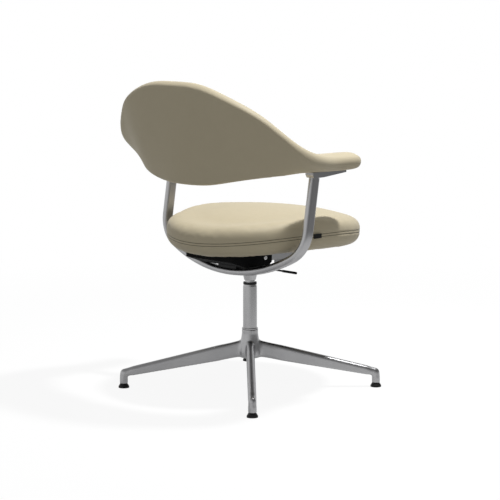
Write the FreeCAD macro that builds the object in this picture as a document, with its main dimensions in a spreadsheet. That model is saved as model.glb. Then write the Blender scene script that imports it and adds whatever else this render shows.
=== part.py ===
import FreeCAD, Part
import math
import os
import Sketcher

# Pedestal swivel armchair, in millimetres.
# Z = 0 is the floor and +Z is up. The chair faces -Y and its right side is -X.
# The column stands on X = 0, set back from the origin so that the whole chair is centred on it.
# Distances called setback run to the rear of the column's axis, and those called forward to its front.

Vector = FreeCAD.Vector
SHEET = "Sizes"
LEGS = 4
BALLS = 12
# A cut runs this far past the face that it opens, and a joined pad reaches this far into its neighbour.
PAST = 1.0

# Driving dimensions, each one a cell of the sheet.
DIMENSIONS = {
    # base
    "glide_circle": 345.0,
    "leg_turn": 46.0,
    "leg_width": 21.5,
    "leg_root_bottom": 86.0,
    "leg_root_top": 133.0,
    "leg_tip_bottom": 31.0,
    "leg_tip_top": 53.0,
    "leg_arch": 9.0,
    "foot_radius": 11.0,
    "foot_bottom": 11.0,
    "hub_bottom": 84.0,
    "hub_skirt_radius": 31.0,
    "hub_skirt_top": 104.0,
    "hub_waist_radius": 24.0,
    "hub_waist_height": 136.0,
    "collar_radius": 22.0,
    "collar_start": 150.0,
    "collar_top": 166.0,
    "collar_ring_height": 2.6,
    "collar_gap": 1.0,
    "collar_step": 1.4,
    "collar_edge": 0.8,
    "glide_radius": 14.8,
    "glide_height": 10.0,
    "stud_radius": 4.0,
    "stud_top": 34.0,
    # column and gas spring
    "column_radius": 19.0,
    "column_wall": 2.4,
    "column_bottom": 90.0,
    "column_top": 286.0,
    "column_chamfer": 1.5,
    "plate_thickness": 3.0,
    "guide_ring_radius": 18.4,
    "guide_ring_height": 5.5,
    "guide_length": 78.0,
    "cylinder_radius": 13.8,
    "cylinder_wall": 1.8,
    "cylinder_bottom": 112.0,
    "cylinder_top": 338.0,
    "cylinder_cap": 8.0,
    "cylinder_floor": 4.0,
    "cylinder_step": 2.0,
    "taper_start": 296.0,
    "taper_end_radius": 12.9,
    "rod_radius": 5.0,
    "rod_groove_radius": 4.0,
    "rod_top": 296.0,
    "piston_height": 12.0,
    "bearing_radius": 14.5,
    "washer_thickness": 1.6,
    "ball_radius": 2.0,
    "clip_radius": 9.0,
    "clip_thickness": 1.2,
    "rod_overhang": 1.5,
    "bump_height": 9.0,
    "bump_inset": 1.0,
    "button_radius": 2.6,
    "button_top": 343.0,
    "running_clearance": 0.05,
    "face_gap": 0.3,
    # tilt mechanism
    "cone_bottom": 298.0,
    "cone_bottom_radius": 16.0,
    "cone_shoulder": 312.0,
    "cone_shoulder_radius": 19.0,
    "housing_half_width": 28.0,
    "housing_front": 42.0,
    "housing_rear": 34.0,
    "housing_bottom": 320.0,
    "housing_top": 351.0,
    "housing_slope": 8.0,
    "housing_bevel": 8.0,
    "housing_nose": 14.0,
    "housing_nose_rise": 6.0,
    "housing_neck": 6.0,
    "lever_slot_width": 9.4,
    "slot_rim": 2.0,
    "axle_forward": 26.0,
    "axle_height": 336.0,
    "axle_radius": 6.0,
    "axle_cap_radius": 12.0,
    "axle_cap_thickness": 3.0,
    "axle_cap_chamfer": 1.0,
    "sleeve_radius": 9.0,
    "sleeve_length": 24.0,
    "washer_rim": 2.0,
    "lug_gap": 3.0,
    "lug_thickness": 6.0,
    "lug_radius": 14.0,
    "lug_bevel": 5.0,
    "plate_bottom": 360.0,
    "frame_plate": 5.0,
    "frame_half_width": 84.0,
    "frame_wall": 5.0,
    "frame_forward": 88.0,
    "frame_setback": 122.0,
    "plate_bevel": 6.0,
    "flange_width": 20.0,
    "flange_thickness": 4.0,
    "saddle_half_width": 34.0,
    "saddle_half_depth": 10.0,
    "saddle_bottom": 335.0,
    "stop_length": 12.0,
    "stop_width": 24.0,
    "tilt_limit": 10.0,
    "cover_wall": 2.5,
    "cover_start": 4.0,
    "cover_setback": 155.0,
    "cover_bottom": 349.5,
    "cover_gap": 1.0,
    "cover_slope_start": 98.0,
    "cover_rear_height": 16.0,
    "cover_bevel": 8.0,
    "cover_bevel_run": 10.0,
    "saddle_gap": 1.0,
    "cover_screw_setback": 30.0,
    "cover_screw_height": 371.0,
    "screw_radius": 3.0,
    "screw_head_radius": 6.0,
    "screw_head_height": 3.0,
    "screw_room": 0.2,
    "screw_sink": 4.0,
    "yoke_screw_length": 40.0,
    "cover_screw_length": 7.0,
    # height lever
    "lever_radius": 2.5,
    "lever_reach": 172.0,
    "lever_drop": 10.5,
    "lever_pivot": 22.0,
    "lever_crank_start": 34.0,
    "lever_crank_end": 50.0,
    "lever_bend": 8.0,
    "lever_boss_radius": 5.0,
    "lever_boss_width": 8.0,
    "pin_radius": 2.0,
    "pin_seat": 6.0,
    "lever_nose": 2.0,
    "nose_gap": 0.2,
    "grip_radius": 3.4,
    "grip_length": 52.0,
    "grip_overhang": 2.0,
    # yoke
    "yoke_thickness": 18.0,
    "yoke_depth": 32.0,
    "yoke_half_span": 267.0,
    "yoke_setback": 77.0,
    "yoke_bottom": 330.0,
    "yoke_lean": 9.3,
    "yoke_arch_height": 132.0,
    "yoke_corner_radius": 87.0,
    "yoke_screw_spacing": 36.0,
    # arm brackets
    "bracket_width": 27.0,
    "bracket_forward": 75.0,
    "bracket_setback": 52.0,
    "bracket_depth": 14.0,
    "bracket_tip": 6.5,
    "bracket_knee": 12.0,
    "bracket_heel": 5.0,
    "bracket_recess": 3.2,
    "bracket_screw_first": 10.0,
    "bracket_screw_second": 56.0,
    "bracket_screw_depth": 9.0,
    # seat
    "seat_half_width": 237.0,
    "seat_widest_setback": 26.5,
    "seat_front_reach": 318.5,
    "seat_rear_reach": 226.5,
    "front_corner_width": 184.0,
    "front_corner_reach": 243.0,
    "rear_corner_width": 161.0,
    "rear_corner_reach": 161.0,
    "seat_arch_radius": 1475.0,
    "seat_apex_forward": 28.0,
    "seat_apex_height": 444.5,
    "band_height": 6.6,
    "band_depth": 14.0,
    "pan_height": 38.0,
    "pan_rounding": 35.0,
    "board_inset": 46.0,
    "board_thickness": 12.0,
    "board_foam": 6.0,
    "cushion_height": 50.0,
    "cushion_rounding": 30.0,
    "cushion_dome_drop": 14.0,
    "panel_inset": 52.0,
    "panel_thickness": 2.0,
    "seat_screw_front": 66.0,
    "seat_screw_rear": 100.0,
    "seat_screw_depth": 16.0,
    "tab_forward": 5.5,
    "tab_length": 24.0,
    "tab_height": 12.0,
    "tab_thickness": 2.0,
    # back and arms
    "arm_underside": 613.0,
    "pad_thickness": 38.0,
    "shell_thickness": 13.0,
    "pad_crown": 5.0,
    "shell_bow": 4.0,
}

# Stations of the back and arm shell, from the middle of the back to one arm's tip.
# turn is the angle about the back's centre, run the distance along the straight arm after it,
# low and rim how far the shell's lower and upper edges stand out from the yoke's line, the
# heights are above the arms' underside, and taper shrinks the section towards the tip.
STATION_KEYS = ("turn", "run", "low_out", "low_height", "rim_out", "rim_height", "taper")
STATIONS = {
    "spine": (0.0, 0.0, -62.0, -17.0, -25.0, 211.0, 1.0),
    "blade": (20.0, 0.0, -58.0, -15.0, -13.0, 206.5, 1.0),
    "quarter": (40.0, 0.0, -34.0, -2.0, 19.0, 174.0, 1.0),
    "shoulder": (55.0, 0.0, -13.0, 9.0, 43.0, 130.0, 1.0),
    "flare": (70.0, 0.0, 7.0, 17.0, 68.0, 60.0, 1.0),
    "elbow": (90.0, 0.0, -13.0, 19.0, 33.0, 24.0, 1.0),
    "forearm": (90.0, 55.0, -18.0, 19.0, 18.0, 19.0, 1.0),
    "wrist": (90.0, 118.0, -18.0, 19.0, 17.0, 18.0, 0.97),
    "knuckle": (90.0, 143.0, -15.0, 18.5, 14.0, 18.0, 0.84),
    "tip": (90.0, 156.0, -10.0, 18.0, 9.0, 17.5, 0.5),
}


class Size:
    """A measure that knows its number and the sheet formula that gives it."""

    def __init__(self, value, formula):
        self.value = value
        self.formula = formula

    def __add__(self, other):
        return Size(self.value + number(other), "(%s + %s)" % (self.formula, words(other)))

    def __radd__(self, other):
        return Size(number(other) + self.value, "(%s + %s)" % (words(other), self.formula))

    def __sub__(self, other):
        return Size(self.value - number(other), "(%s - %s)" % (self.formula, words(other)))

    def __rsub__(self, other):
        return Size(number(other) - self.value, "(%s - %s)" % (words(other), self.formula))

    def __mul__(self, other):
        return Size(self.value * number(other), "(%s * %s)" % (self.formula, words(other)))

    def __truediv__(self, other):
        return Size(self.value / number(other), "(%s / %s)" % (self.formula, words(other)))

    def __neg__(self):
        return Size(-self.value, "(-1 * %s)" % self.formula)


def number(measure):
    """The number of a Size, or of a plain number."""
    return measure.value if isinstance(measure, Size) else float(measure)


def words(measure):
    """The formula of a Size, or the digits of a plain number."""
    return measure.formula if isinstance(measure, Size) else repr(float(measure))


def tangent(angle):
    """The tangent of an angle in degrees."""
    return Size(math.tan(math.radians(number(angle))), "tan(%s)" % words(angle))


def cosine(angle):
    """The cosine of an angle in degrees."""
    return Size(math.cos(math.radians(number(angle))), "cos(%s)" % words(angle))


def write_sheet(doc):
    """Put every driving dimension in a cell of its own, and return them as Sizes by name."""
    cells = dict(DIMENSIONS)
    for station, values in STATIONS.items():
        for key, value in zip(STATION_KEYS, values):
            cells["%s_%s" % (station, key)] = value
    sheet = doc.addObject("Spreadsheet::Sheet", SHEET)
    sizes = {}
    for row, (name, value) in enumerate(cells.items(), start=1):
        sheet.set("A%d" % row, name)
        sheet.set("B%d" % row, repr(value))
        sheet.setAlias("B%d" % row, name)
        sizes[name] = Size(value, "%s.%s" % (SHEET, name))
    doc.recompute()
    return sizes


doc = FreeCAD.newDocument("Armchair")
size = write_sheet(doc)
S = size.__getitem__
kept = {}

# The column's axis is set back so that the seat's front and the back's rear are equally far out.
yoke_rise = S("arm_underside") - S("bracket_depth") - S("yoke_bottom")
yoke_top_setback = S("yoke_setback") - yoke_rise * tangent(S("yoke_lean"))
back_reach = yoke_top_setback + S("yoke_half_span") + S("spine_rim_out") + S("pad_thickness") / 2
column_y = (S("seat_front_reach") - back_reach) / 2


def keep(label, part):
    """Name a sub-part after its node and keep it for export."""
    part.Label = label
    kept[label] = part
    return part


def place(part, x=0.0, y=0.0, z=0.0, axis=None, angle=None):
    """Bind a part's place to the sheet, y being counted from the column's axis to the rear."""
    if axis is not None:
        part.Placement = FreeCAD.Placement(Vector(0, 0, 0), FreeCAD.Rotation(axis, number(angle)))
        part.setExpression("Placement.Rotation.Angle", words(angle))
    for letter, measure in (("x", x), ("y", column_y + y), ("z", z)):
        part.setExpression("Placement.Base.%s" % letter, words(measure))
    return part


def new_body(label):
    """An empty body that may hold several solids."""
    body = doc.addObject("PartDesign::Body", label + "_body")
    body.Label = label
    body.AllowCompound = True
    return body


def origin_feature(body, role):
    """One of the body's own origin planes or axes."""
    return [feature for feature in body.Origin.OriginFeatures if feature.Role == role][0]


def new_sketch(body, plane, height=None):
    """A sketch on one of the body's origin planes, raised along its normal where a height is given."""
    sketch = body.newObject("Sketcher::SketchObject", body.Name + "_sketch")
    sketch.AttachmentSupport = (origin_feature(body, plane), [""])
    sketch.MapMode = "FlatFace"
    if height is not None:
        sketch.AttachmentOffset = FreeCAD.Placement(Vector(0, 0, number(height)), FreeCAD.Rotation())
        sketch.setExpression("AttachmentOffset.Base.z", words(height))
    return sketch


def pin_point(sketch, edge, end, corner):
    """Tie a point of an edge to its place, by two distances from the sketch's origin."""
    for kind, measure in zip(("DistanceX", "DistanceY"), corner):
        index = sketch.addConstraint(Sketcher.Constraint(kind, -1, 1, edge, end, number(measure)))
        if isinstance(measure, Size):
            sketch.setExpression("Constraints[%d]" % index, words(measure))


def polygon(sketch, corners):
    """A closed outline of straight edges through corners given as pairs of Sizes."""
    flat = [Vector(number(across), number(up), 0) for across, up in corners]
    first = sketch.GeometryCount
    count = len(flat)
    for index in range(count):
        sketch.addGeometry(Part.LineSegment(flat[index], flat[(index + 1) % count]), False)
    for index in range(count):
        after = first + (index + 1) % count
        sketch.addConstraint(Sketcher.Constraint("Coincident", first + index, 2, after, 1))
        pin_point(sketch, first + index, 1, corners[index])
    return sketch


def circle(sketch, centre, radius):
    """A circle tied to the sheet."""
    middle = Vector(number(centre[0]), number(centre[1]), 0)
    index = sketch.addGeometry(Part.Circle(middle, Vector(0, 0, 1), number(radius)), False)
    pin_point(sketch, index, 3, centre)
    rule = sketch.addConstraint(Sketcher.Constraint("Radius", index, number(radius)))
    if isinstance(radius, Size):
        sketch.setExpression("Constraints[%d]" % rule, words(radius))


def turn(body, sketch, kind="PartDesign::Revolution"):
    """Turn a sketch about the body's Z axis, to add to the body or to cut it."""
    feature = body.newObject(kind, body.Name + "_turn")
    feature.Profile = sketch
    feature.ReferenceAxis = (sketch, ["V_Axis"])
    feature.Angle = 360
    return feature


def thicken(body, sketch, length, both_ways=False, flip=False, kind="PartDesign::Pad"):
    """Pad a sketch, or pocket it, by a length from the sheet."""
    feature = body.newObject(kind, body.Name + "_pad")
    feature.Profile = sketch
    feature.Length = number(length)
    feature.setExpression("Length", words(length))
    feature.Midplane = both_ways
    feature.Reversed = flip
    return feature


def repeat_round(body, features, count):
    """Repeat features evenly about the body's Z axis."""
    pattern = body.newObject("PartDesign::PolarPattern", body.Name + "_round")
    pattern.Originals = features
    pattern.Axis = (origin_feature(body, "Z_Axis"), [""])
    pattern.Angle = 360
    pattern.Occurrences = count
    body.Tip = pattern
    return pattern


def mirror(body, features, plane):
    """Repeat features on the other side of one of the body's origin planes."""
    twin = body.newObject("PartDesign::Mirrored", body.Name + "_mirror")
    twin.Originals = features
    twin.MirrorPlane = (origin_feature(body, plane), [""])
    body.Tip = twin
    return twin


def turned(label, corners):
    """A piece turned about the column's axis from corners given as radius and height."""
    body = new_body(label)
    turn(body, polygon(new_sketch(body, "XZ_Plane"), corners))
    place(body)
    return keep(label, body)


def cut_from(label, base, tools):
    """A piece with the pieces that pass through it cut out of it."""
    fused = tools[0]
    if len(tools) > 1:
        fused = doc.addObject("Part::MultiFuse", label + "_tools")
        fused.Shapes = tools
    piece = doc.addObject("Part::Cut", label + "_cut")
    piece.Base = base
    piece.Tool = fused
    return keep(label, piece)


def solid_feature(label, shape, keep_it=True):
    """A piece whose shape is worked out here, held by the document, on the column's axis."""
    piece = doc.addObject("Part::Feature", label + "_solid")
    piece.Shape = shape
    place(piece)
    return keep(label, piece) if keep_it else piece


def value(name):
    """The number in one cell of the sheet."""
    return number(S(name))


# Base


def build_base():
    """The four-leg casting: hub, collar, tapered legs with arched tops, and round feet."""
    body = new_body("base_casting")
    bore = S("column_radius") + S("running_clearance")
    seat_of_ring = S("collar_top") - S("collar_ring_height") - S("collar_gap")
    hub = polygon(new_sketch(body, "XZ_Plane"), [
        (bore, S("hub_bottom")),
        (S("hub_skirt_radius"), S("hub_bottom")),
        (S("hub_skirt_radius"), S("hub_skirt_top")),
        (S("hub_waist_radius"), S("hub_waist_height")),
        (S("collar_radius"), S("collar_start")),
        (S("collar_radius"), seat_of_ring),
        (bore, seat_of_ring),
    ])
    turn(body, hub)
    leg_start = bore + PAST
    sections = []
    for reach, bottom, top in (
        (leg_start, S("leg_root_bottom"), S("leg_root_top")),
        (S("glide_circle"), S("leg_tip_bottom"), S("leg_tip_top")),
    ):
        sections.append(arched_section(body, reach, bottom, top))
    leg = body.newObject("PartDesign::AdditiveLoft", "base_leg")
    leg.Profile = sections[0]
    leg.Sections = [sections[1]]
    foot = turn_once_about_foot(body, domed_foot(body))
    repeat_round(body, [leg, foot], LEGS)
    bore_sketch = new_sketch(body, "XY_Plane", S("foot_bottom"))
    circle(bore_sketch, (S("glide_circle"), Size(0.0, "0")), S("stud_radius"))
    stud_bore = thicken(body, bore_sketch, S("stud_top") - S("foot_bottom"), flip=True,
                        kind="PartDesign::Pocket")
    repeat_round(body, [stud_bore], LEGS)
    place(body, axis=Vector(0, 0, 1), angle=S("leg_turn"))
    return keep("base_casting", body)


def domed_foot(body):
    """Half of a foot's profile: straight below, and a quarter round above."""
    sketch = new_sketch(body, "XZ_Plane")
    ring = S("glide_circle")
    shoulder = S("leg_tip_top") - S("foot_radius")
    corners = [(ring, S("foot_bottom")), (ring + S("foot_radius"), S("foot_bottom")),
               (ring + S("foot_radius"), shoulder), (ring, S("leg_tip_top"))]
    flat = [Vector(number(across), number(up), 0) for across, up in corners]
    sketch.addGeometry(Part.LineSegment(flat[0], flat[1]), False)
    sketch.addGeometry(Part.LineSegment(flat[1], flat[2]), False)
    middle = Vector(number(ring), number(shoulder), 0)
    round_top = Part.Circle(middle, Vector(0, 0, 1), value("foot_radius"))
    sketch.addGeometry(Part.ArcOfCircle(round_top, 0, math.pi / 2), False)
    sketch.addGeometry(Part.LineSegment(flat[3], flat[0]), False)
    for first, first_end, second, second_end in ((0, 2, 1, 1), (1, 2, 2, 1), (2, 2, 3, 1), (3, 2, 0, 1)):
        sketch.addConstraint(Sketcher.Constraint("Coincident", first, first_end, second, second_end))
    for index in range(2):
        pin_point(sketch, index, 1, corners[index])
    pin_point(sketch, 1, 2, corners[2])
    pin_point(sketch, 3, 1, corners[3])
    rule = sketch.addConstraint(Sketcher.Constraint("DistanceX", -1, 1, 2, 3, number(ring)))
    sketch.setExpression("Constraints[%d]" % rule, words(ring))
    return sketch


def arched_section(body, reach, bottom, top):
    """A leg's section at a distance from the column: straight sides under an arched top."""
    sketch = new_sketch(body, "YZ_Plane", reach)
    half = S("leg_width") / 2
    shoulder = top - S("leg_arch")
    radius = (half * half + S("leg_arch") * S("leg_arch")) / (S("leg_arch") * 2)
    centre = top - radius
    corners = [(-half, shoulder), (-half, bottom), (half, bottom), (half, shoulder)]
    flat = [Vector(number(across), number(up), 0) for across, up in corners]
    for start, end in zip(flat, flat[1:]):
        sketch.addGeometry(Part.LineSegment(start, end), False)
    ring = Part.Circle(Vector(0, number(centre), 0), Vector(0, 0, 1), number(radius))
    spread = math.atan2(number(half), number(shoulder) - number(centre))
    arc = Part.ArcOfCircle(ring, math.pi / 2 - spread, math.pi / 2 + spread)
    sketch.addGeometry(arc, False)
    for index, corner in enumerate(corners[:3]):
        pin_point(sketch, index, 1, corner)
    pin_point(sketch, 2, 2, corners[3])
    for index in range(2):
        sketch.addConstraint(Sketcher.Constraint("Coincident", index, 2, index + 1, 1))
    sketch.addConstraint(Sketcher.Constraint("Coincident", 3, 1, 2, 2))
    sketch.addConstraint(Sketcher.Constraint("Coincident", 3, 2, 0, 1))
    rule = sketch.addConstraint(Sketcher.Constraint("Radius", 3, number(radius)))
    sketch.setExpression("Constraints[%d]" % rule, words(radius))
    return sketch


def build_glides():
    """Four glides on the floor, with their studs in the feet."""
    ring = S("glide_circle")
    flange = S("glide_height") / 3
    body = new_body("floor_glides")
    puck = polygon(new_sketch(body, "XZ_Plane"), [
        (ring, Size(0.0, "0")),
        (ring + S("glide_radius"), Size(0.0, "0")),
        (ring + S("glide_radius"), flange),
        (ring + S("foot_radius"), S("glide_height")),
        (ring + S("stud_radius"), S("glide_height")),
        (ring + S("stud_radius"), flange),
        (ring, flange),
    ])
    turn_about_foot(body, puck)
    keep("floor_glides", body)
    body = new_body("glide_studs")
    stud = polygon(new_sketch(body, "XZ_Plane"), [
        (ring, flange),
        (ring + S("stud_radius"), flange),
        (ring + S("stud_radius"), S("stud_top")),
        (ring, S("stud_top")),
    ])
    turn_about_foot(body, stud)
    keep("glide_studs", body)


def turn_once_about_foot(body, sketch):
    """Turn a sketch about the upright line through its first edge's start."""
    start = sketch.getPoint(0, 1)
    line = Part.LineSegment(Vector(start.x, 0, 0), Vector(start.x, value("stud_top"), 0))
    index = sketch.addGeometry(line, True)
    for end, height in ((1, 0.0), (2, S("stud_top"))):
        pin_point(sketch, index, end, (S("glide_circle"), height))
    feature = body.newObject("PartDesign::Revolution", body.Name + "_turn")
    feature.Profile = sketch
    feature.ReferenceAxis = (sketch, ["Axis0"])
    feature.Angle = 360
    return feature


def turn_about_foot(body, sketch):
    """Turn a sketch about a foot's axis, and repeat it on each foot."""
    repeat_round(body, [turn_once_about_foot(body, sketch)], LEGS)
    place(body, axis=Vector(0, 0, 1), angle=S("leg_turn"))


# Column and gas spring


def build_column():
    """The fixed tube with its trim ring and guide bush, and the thrust bearing on its bottom plate."""
    nothing = Size(0.0, "0")
    outer = S("column_radius")
    inner = outer - S("column_wall")
    slack = S("running_clearance")
    ring_bottom = S("collar_top") - S("collar_ring_height")
    turned("column_collar_ring", [
        (outer + slack, ring_bottom - S("collar_gap")),
        (S("collar_radius") - S("collar_step"), ring_bottom - S("collar_gap")),
        (S("collar_radius") - S("collar_step"), ring_bottom),
        (S("collar_radius"), ring_bottom),
        (S("collar_radius"), S("collar_top") - S("collar_edge")),
        (S("collar_radius") - S("collar_edge"), S("collar_top")),
        (outer + slack, S("collar_top")),
    ])
    plate_top = S("column_bottom") + S("plate_thickness")
    rod_hole = S("rod_radius") + slack
    turned("column_tube", [
        (rod_hole, S("column_bottom")),
        (outer, S("column_bottom")),
        (outer, S("column_top") - S("column_chamfer") * 4),
        (outer - S("column_chamfer"), S("column_top")),
        (inner, S("column_top")),
        (inner, plate_top),
        (rod_hole, plate_top),
    ])
    turned("guide_bush", [
        (S("cylinder_radius") + slack, S("column_top") - S("guide_length")),
        (inner, S("column_top") - S("guide_length")),
        (inner, S("column_top")),
        (S("guide_ring_radius"), S("column_top")),
        (S("guide_ring_radius"), S("column_top") + S("guide_ring_height")),
        (S("cylinder_radius") + slack, S("column_top") + S("guide_ring_height")),
    ])
    washer_hole = S("rod_radius") + slack
    ball_floor = plate_top + S("washer_thickness")
    ball_roof = ball_floor + S("ball_radius") * 2 + slack * 2
    turned("thrust_washer_lower", [
        (washer_hole, plate_top), (S("bearing_radius"), plate_top),
        (S("bearing_radius"), ball_floor), (washer_hole, ball_floor),
    ])
    bearing_line = (S("bearing_radius") + S("rod_radius")) / 2
    body = new_body("bearing_balls")
    ball_sketch = new_sketch(body, "XY_Plane", ball_floor + S("ball_radius"))
    half_disc(ball_sketch, bearing_line, S("ball_radius"))
    ball = body.newObject("PartDesign::Revolution", "ball_turn")
    ball.Profile = ball_sketch
    ball.ReferenceAxis = (ball_sketch, ["H_Axis"])
    ball.Angle = 360
    repeat_round(body, [ball], BALLS)
    place(body)
    keep("bearing_balls", body)
    washer_top = ball_roof + S("washer_thickness")
    turned("thrust_washer_upper", [
        (washer_hole, ball_roof), (S("bearing_radius"), ball_roof),
        (S("bearing_radius"), washer_top), (washer_hole, washer_top),
    ])
    bump_outer = S("cylinder_radius") - S("bump_inset")
    turned("bump_stop", [
        (S("rod_radius"), washer_top), (bump_outer, washer_top),
        (bump_outer - S("bump_inset") * 2, washer_top + S("bump_height")),
        (S("rod_radius"), washer_top + S("bump_height")),
    ])
    clip_top = S("column_bottom") - slack * 2
    clip_bottom = clip_top - S("clip_thickness")
    rod_end = clip_bottom - S("rod_overhang")
    turned("piston_rod", [
        (nothing, rod_end), (S("rod_radius"), rod_end), (S("rod_radius"), clip_bottom),
        (S("rod_groove_radius"), clip_bottom), (S("rod_groove_radius"), clip_top),
        (S("rod_radius"), clip_top), (S("rod_radius"), S("rod_top")), (nothing, S("rod_top")),
    ])
    turned("retaining_clip", [
        (S("rod_groove_radius"), clip_bottom), (S("clip_radius"), clip_bottom),
        (S("clip_radius"), clip_top), (S("rod_groove_radius"), clip_top),
    ])
    bore = S("cylinder_radius") - S("cylinder_wall")
    turned("piston", [
        (nothing, S("rod_top")), (bore - slack, S("rod_top")),
        (bore - slack, S("rod_top") + S("piston_height")), (nothing, S("rod_top") + S("piston_height")),
    ])
    button_hole = S("button_radius") + slack
    step = S("cylinder_step")
    floor_top = S("cylinder_bottom") + S("cylinder_floor")
    piston_top = S("rod_top") + S("piston_height")
    cap_bottom = S("cylinder_top") - S("cylinder_cap")
    turned("gas_cylinder", [
        (S("rod_radius") + slack, S("cylinder_bottom")),
        (S("cylinder_radius"), S("cylinder_bottom")),
        (S("cylinder_radius"), S("taper_start")),
        (S("taper_end_radius"), S("cylinder_top")),
        (button_hole, S("cylinder_top")),
        (button_hole, cap_bottom),
        (bore - step, cap_bottom),
        (bore - step, piston_top + step * 2),
        (bore, piston_top + step),
        (bore, floor_top),
        (S("rod_radius") + slack, floor_top),
    ])
    turned("valve_button", [
        (nothing, cap_bottom), (S("button_radius"), cap_bottom),
        (S("button_radius"), S("button_top")), (nothing, S("button_top")),
    ])


def half_disc(sketch, reach, radius):
    """A half disc whose straight side lies on the sketch's X axis, centred at a distance out."""
    centre = Vector(number(reach), 0, 0)
    ring = Part.Circle(centre, Vector(0, 0, 1), number(radius))
    sketch.addGeometry(Part.ArcOfCircle(ring, 0, math.pi), False)
    left = Vector(number(reach) - number(radius), 0, 0)
    right = Vector(number(reach) + number(radius), 0, 0)
    sketch.addGeometry(Part.LineSegment(left, right), False)
    sketch.addConstraint(Sketcher.Constraint("Coincident", 0, 1, 1, 2))
    sketch.addConstraint(Sketcher.Constraint("Coincident", 0, 2, 1, 1))
    pin_point(sketch, 1, 1, (reach - radius, 0.0))
    pin_point(sketch, 1, 2, (reach + radius, 0.0))
    sketch.addConstraint(Sketcher.Constraint("PointOnObject", 0, 3, -1))


# Tilt mechanism


def build_housing():
    """The casting on the gas cylinder's taper: a cone below, a block above, and a slot for the lever."""
    nothing = Size(0.0, "0")
    body = new_body("mechanism_housing")
    turn(body, polygon(new_sketch(body, "XZ_Plane"), [
        (nothing, S("cone_bottom")),
        (S("cone_bottom_radius"), S("cone_bottom")),
        (S("cone_shoulder_radius"), S("cone_shoulder")),
        (S("cone_shoulder_radius") + S("housing_neck"), S("housing_bottom") + PAST),
        (nothing, S("housing_bottom") + PAST),
    ]))
    block = polygon(new_sketch(body, "YZ_Plane"), [
        (-S("housing_front"), S("housing_bottom") + S("housing_nose_rise")),
        (-S("housing_front") + S("housing_nose"), S("housing_bottom")),
        (S("housing_rear") - S("housing_bevel"), S("housing_bottom")),
        (S("housing_rear"), S("housing_bottom") + S("housing_bevel")),
        (S("housing_rear"), S("housing_top") - S("housing_slope")),
        (slope_start(), S("housing_top")),
        (-S("housing_front"), S("housing_top")),
    ])
    thicken(body, block, S("housing_half_width") * 2, both_ways=True)
    socket = polygon(new_sketch(body, "XZ_Plane"), [
        (nothing, S("cone_bottom") - PAST),
        (S("cylinder_radius"), S("cone_bottom") - PAST),
        (taper_radius(S("cone_bottom")), S("cone_bottom")),
        (S("taper_end_radius"), S("cylinder_top")),
        (nothing, S("cylinder_top")),
    ])
    turn(body, socket, "PartDesign::Groove")
    slot = polygon(new_sketch(body, "XZ_Plane"), [
        (-S("housing_half_width") - PAST, S("cylinder_top")),
        (S("lever_slot_width"), S("cylinder_top")),
        (S("lever_slot_width"), S("housing_top") + PAST),
        (-S("housing_half_width") - PAST, S("housing_top") + PAST),
    ])
    thicken(body, slot, S("lever_slot_width"), both_ways=True, kind="PartDesign::Pocket")
    axle_bore = new_sketch(body, "YZ_Plane")
    circle(axle_bore, (-S("axle_forward"), S("axle_height")), S("sleeve_radius"))
    bore_length = (S("housing_half_width") + PAST) * 2
    thicken(body, axle_bore, bore_length, both_ways=True, kind="PartDesign::Pocket")
    pin_bore = new_sketch(body, "XZ_Plane")
    circle(pin_bore, (-S("lever_pivot"), lever_line()), S("pin_radius"))
    thicken(body, pin_bore, pin_length(), both_ways=True, kind="PartDesign::Pocket")
    place(body)
    return keep("mechanism_housing", body)


def slope_start():
    """The setback at which the housing's top begins to slope down, behind the lever's slot."""
    return S("lever_slot_width") / 2 + S("slot_rim")


def taper_radius(height):
    """The gas cylinder's radius at a height on its taper."""
    slope = (S("cylinder_radius") - S("taper_end_radius")) / (S("cylinder_top") - S("taper_start"))
    return S("cylinder_radius") - (height - S("taper_start")) * slope


def lever_line():
    """The height of the lever's centre line over the valve button."""
    return S("button_top") + S("nose_gap") + S("lever_radius")


def pin_length():
    """The lever pin's length, across the slot and into both walls."""
    return S("lever_slot_width") + S("pin_seat") * 2


def along_x(label, corners, mirrored=False):
    """A piece turned about the tilt axle's line, from corners given as radius and sideways reach."""
    body = new_body(label)
    feature = turn(body, polygon(new_sketch(body, "XZ_Plane"), corners))
    if mirrored:
        mirror(body, [feature], "XY_Plane")
    place(body, y=-S("axle_forward"), z=S("axle_height"), axis=Vector(0, 1, 0), angle=Size(90.0, "90"))
    return keep(label, body)


def build_axle():
    """The tilt axle with its end caps, the rubber sleeves on it and the thrust rings beside the housing."""
    nothing = Size(0.0, "0")
    slack = S("running_clearance")
    lug_inner = S("housing_half_width") + S("lug_gap")
    lug_outer = lug_inner + S("lug_thickness")
    cap_end = lug_outer + S("axle_cap_thickness")
    cap_face = S("axle_cap_radius") - S("axle_cap_chamfer")
    along_x("tilt_axle", [
        (nothing, -cap_end), (cap_face, -cap_end),
        (S("axle_cap_radius"), -cap_end + S("axle_cap_chamfer")), (S("axle_cap_radius"), -lug_outer),
        (S("axle_radius"), -lug_outer), (S("axle_radius"), lug_outer),
        (S("axle_cap_radius"), lug_outer), (S("axle_cap_radius"), cap_end - S("axle_cap_chamfer")),
        (cap_face, cap_end), (nothing, cap_end),
    ])
    washer_radius = S("sleeve_radius") + S("washer_rim")
    sleeve_end = S("housing_half_width")
    sleeve_start = sleeve_end - S("sleeve_length")
    along_x("torsion_sleeves", [
        (S("axle_radius") + slack, sleeve_start), (S("sleeve_radius"), sleeve_start),
        (S("sleeve_radius"), sleeve_end), (S("axle_radius") + slack, sleeve_end),
    ], mirrored=True)
    along_x("axle_washers", [
        (S("axle_radius") + slack, sleeve_end), (washer_radius, sleeve_end),
        (washer_radius, lug_inner - S("face_gap")),
        (S("axle_radius") + slack, lug_inner - S("face_gap")),
    ], mirrored=True)


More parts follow.
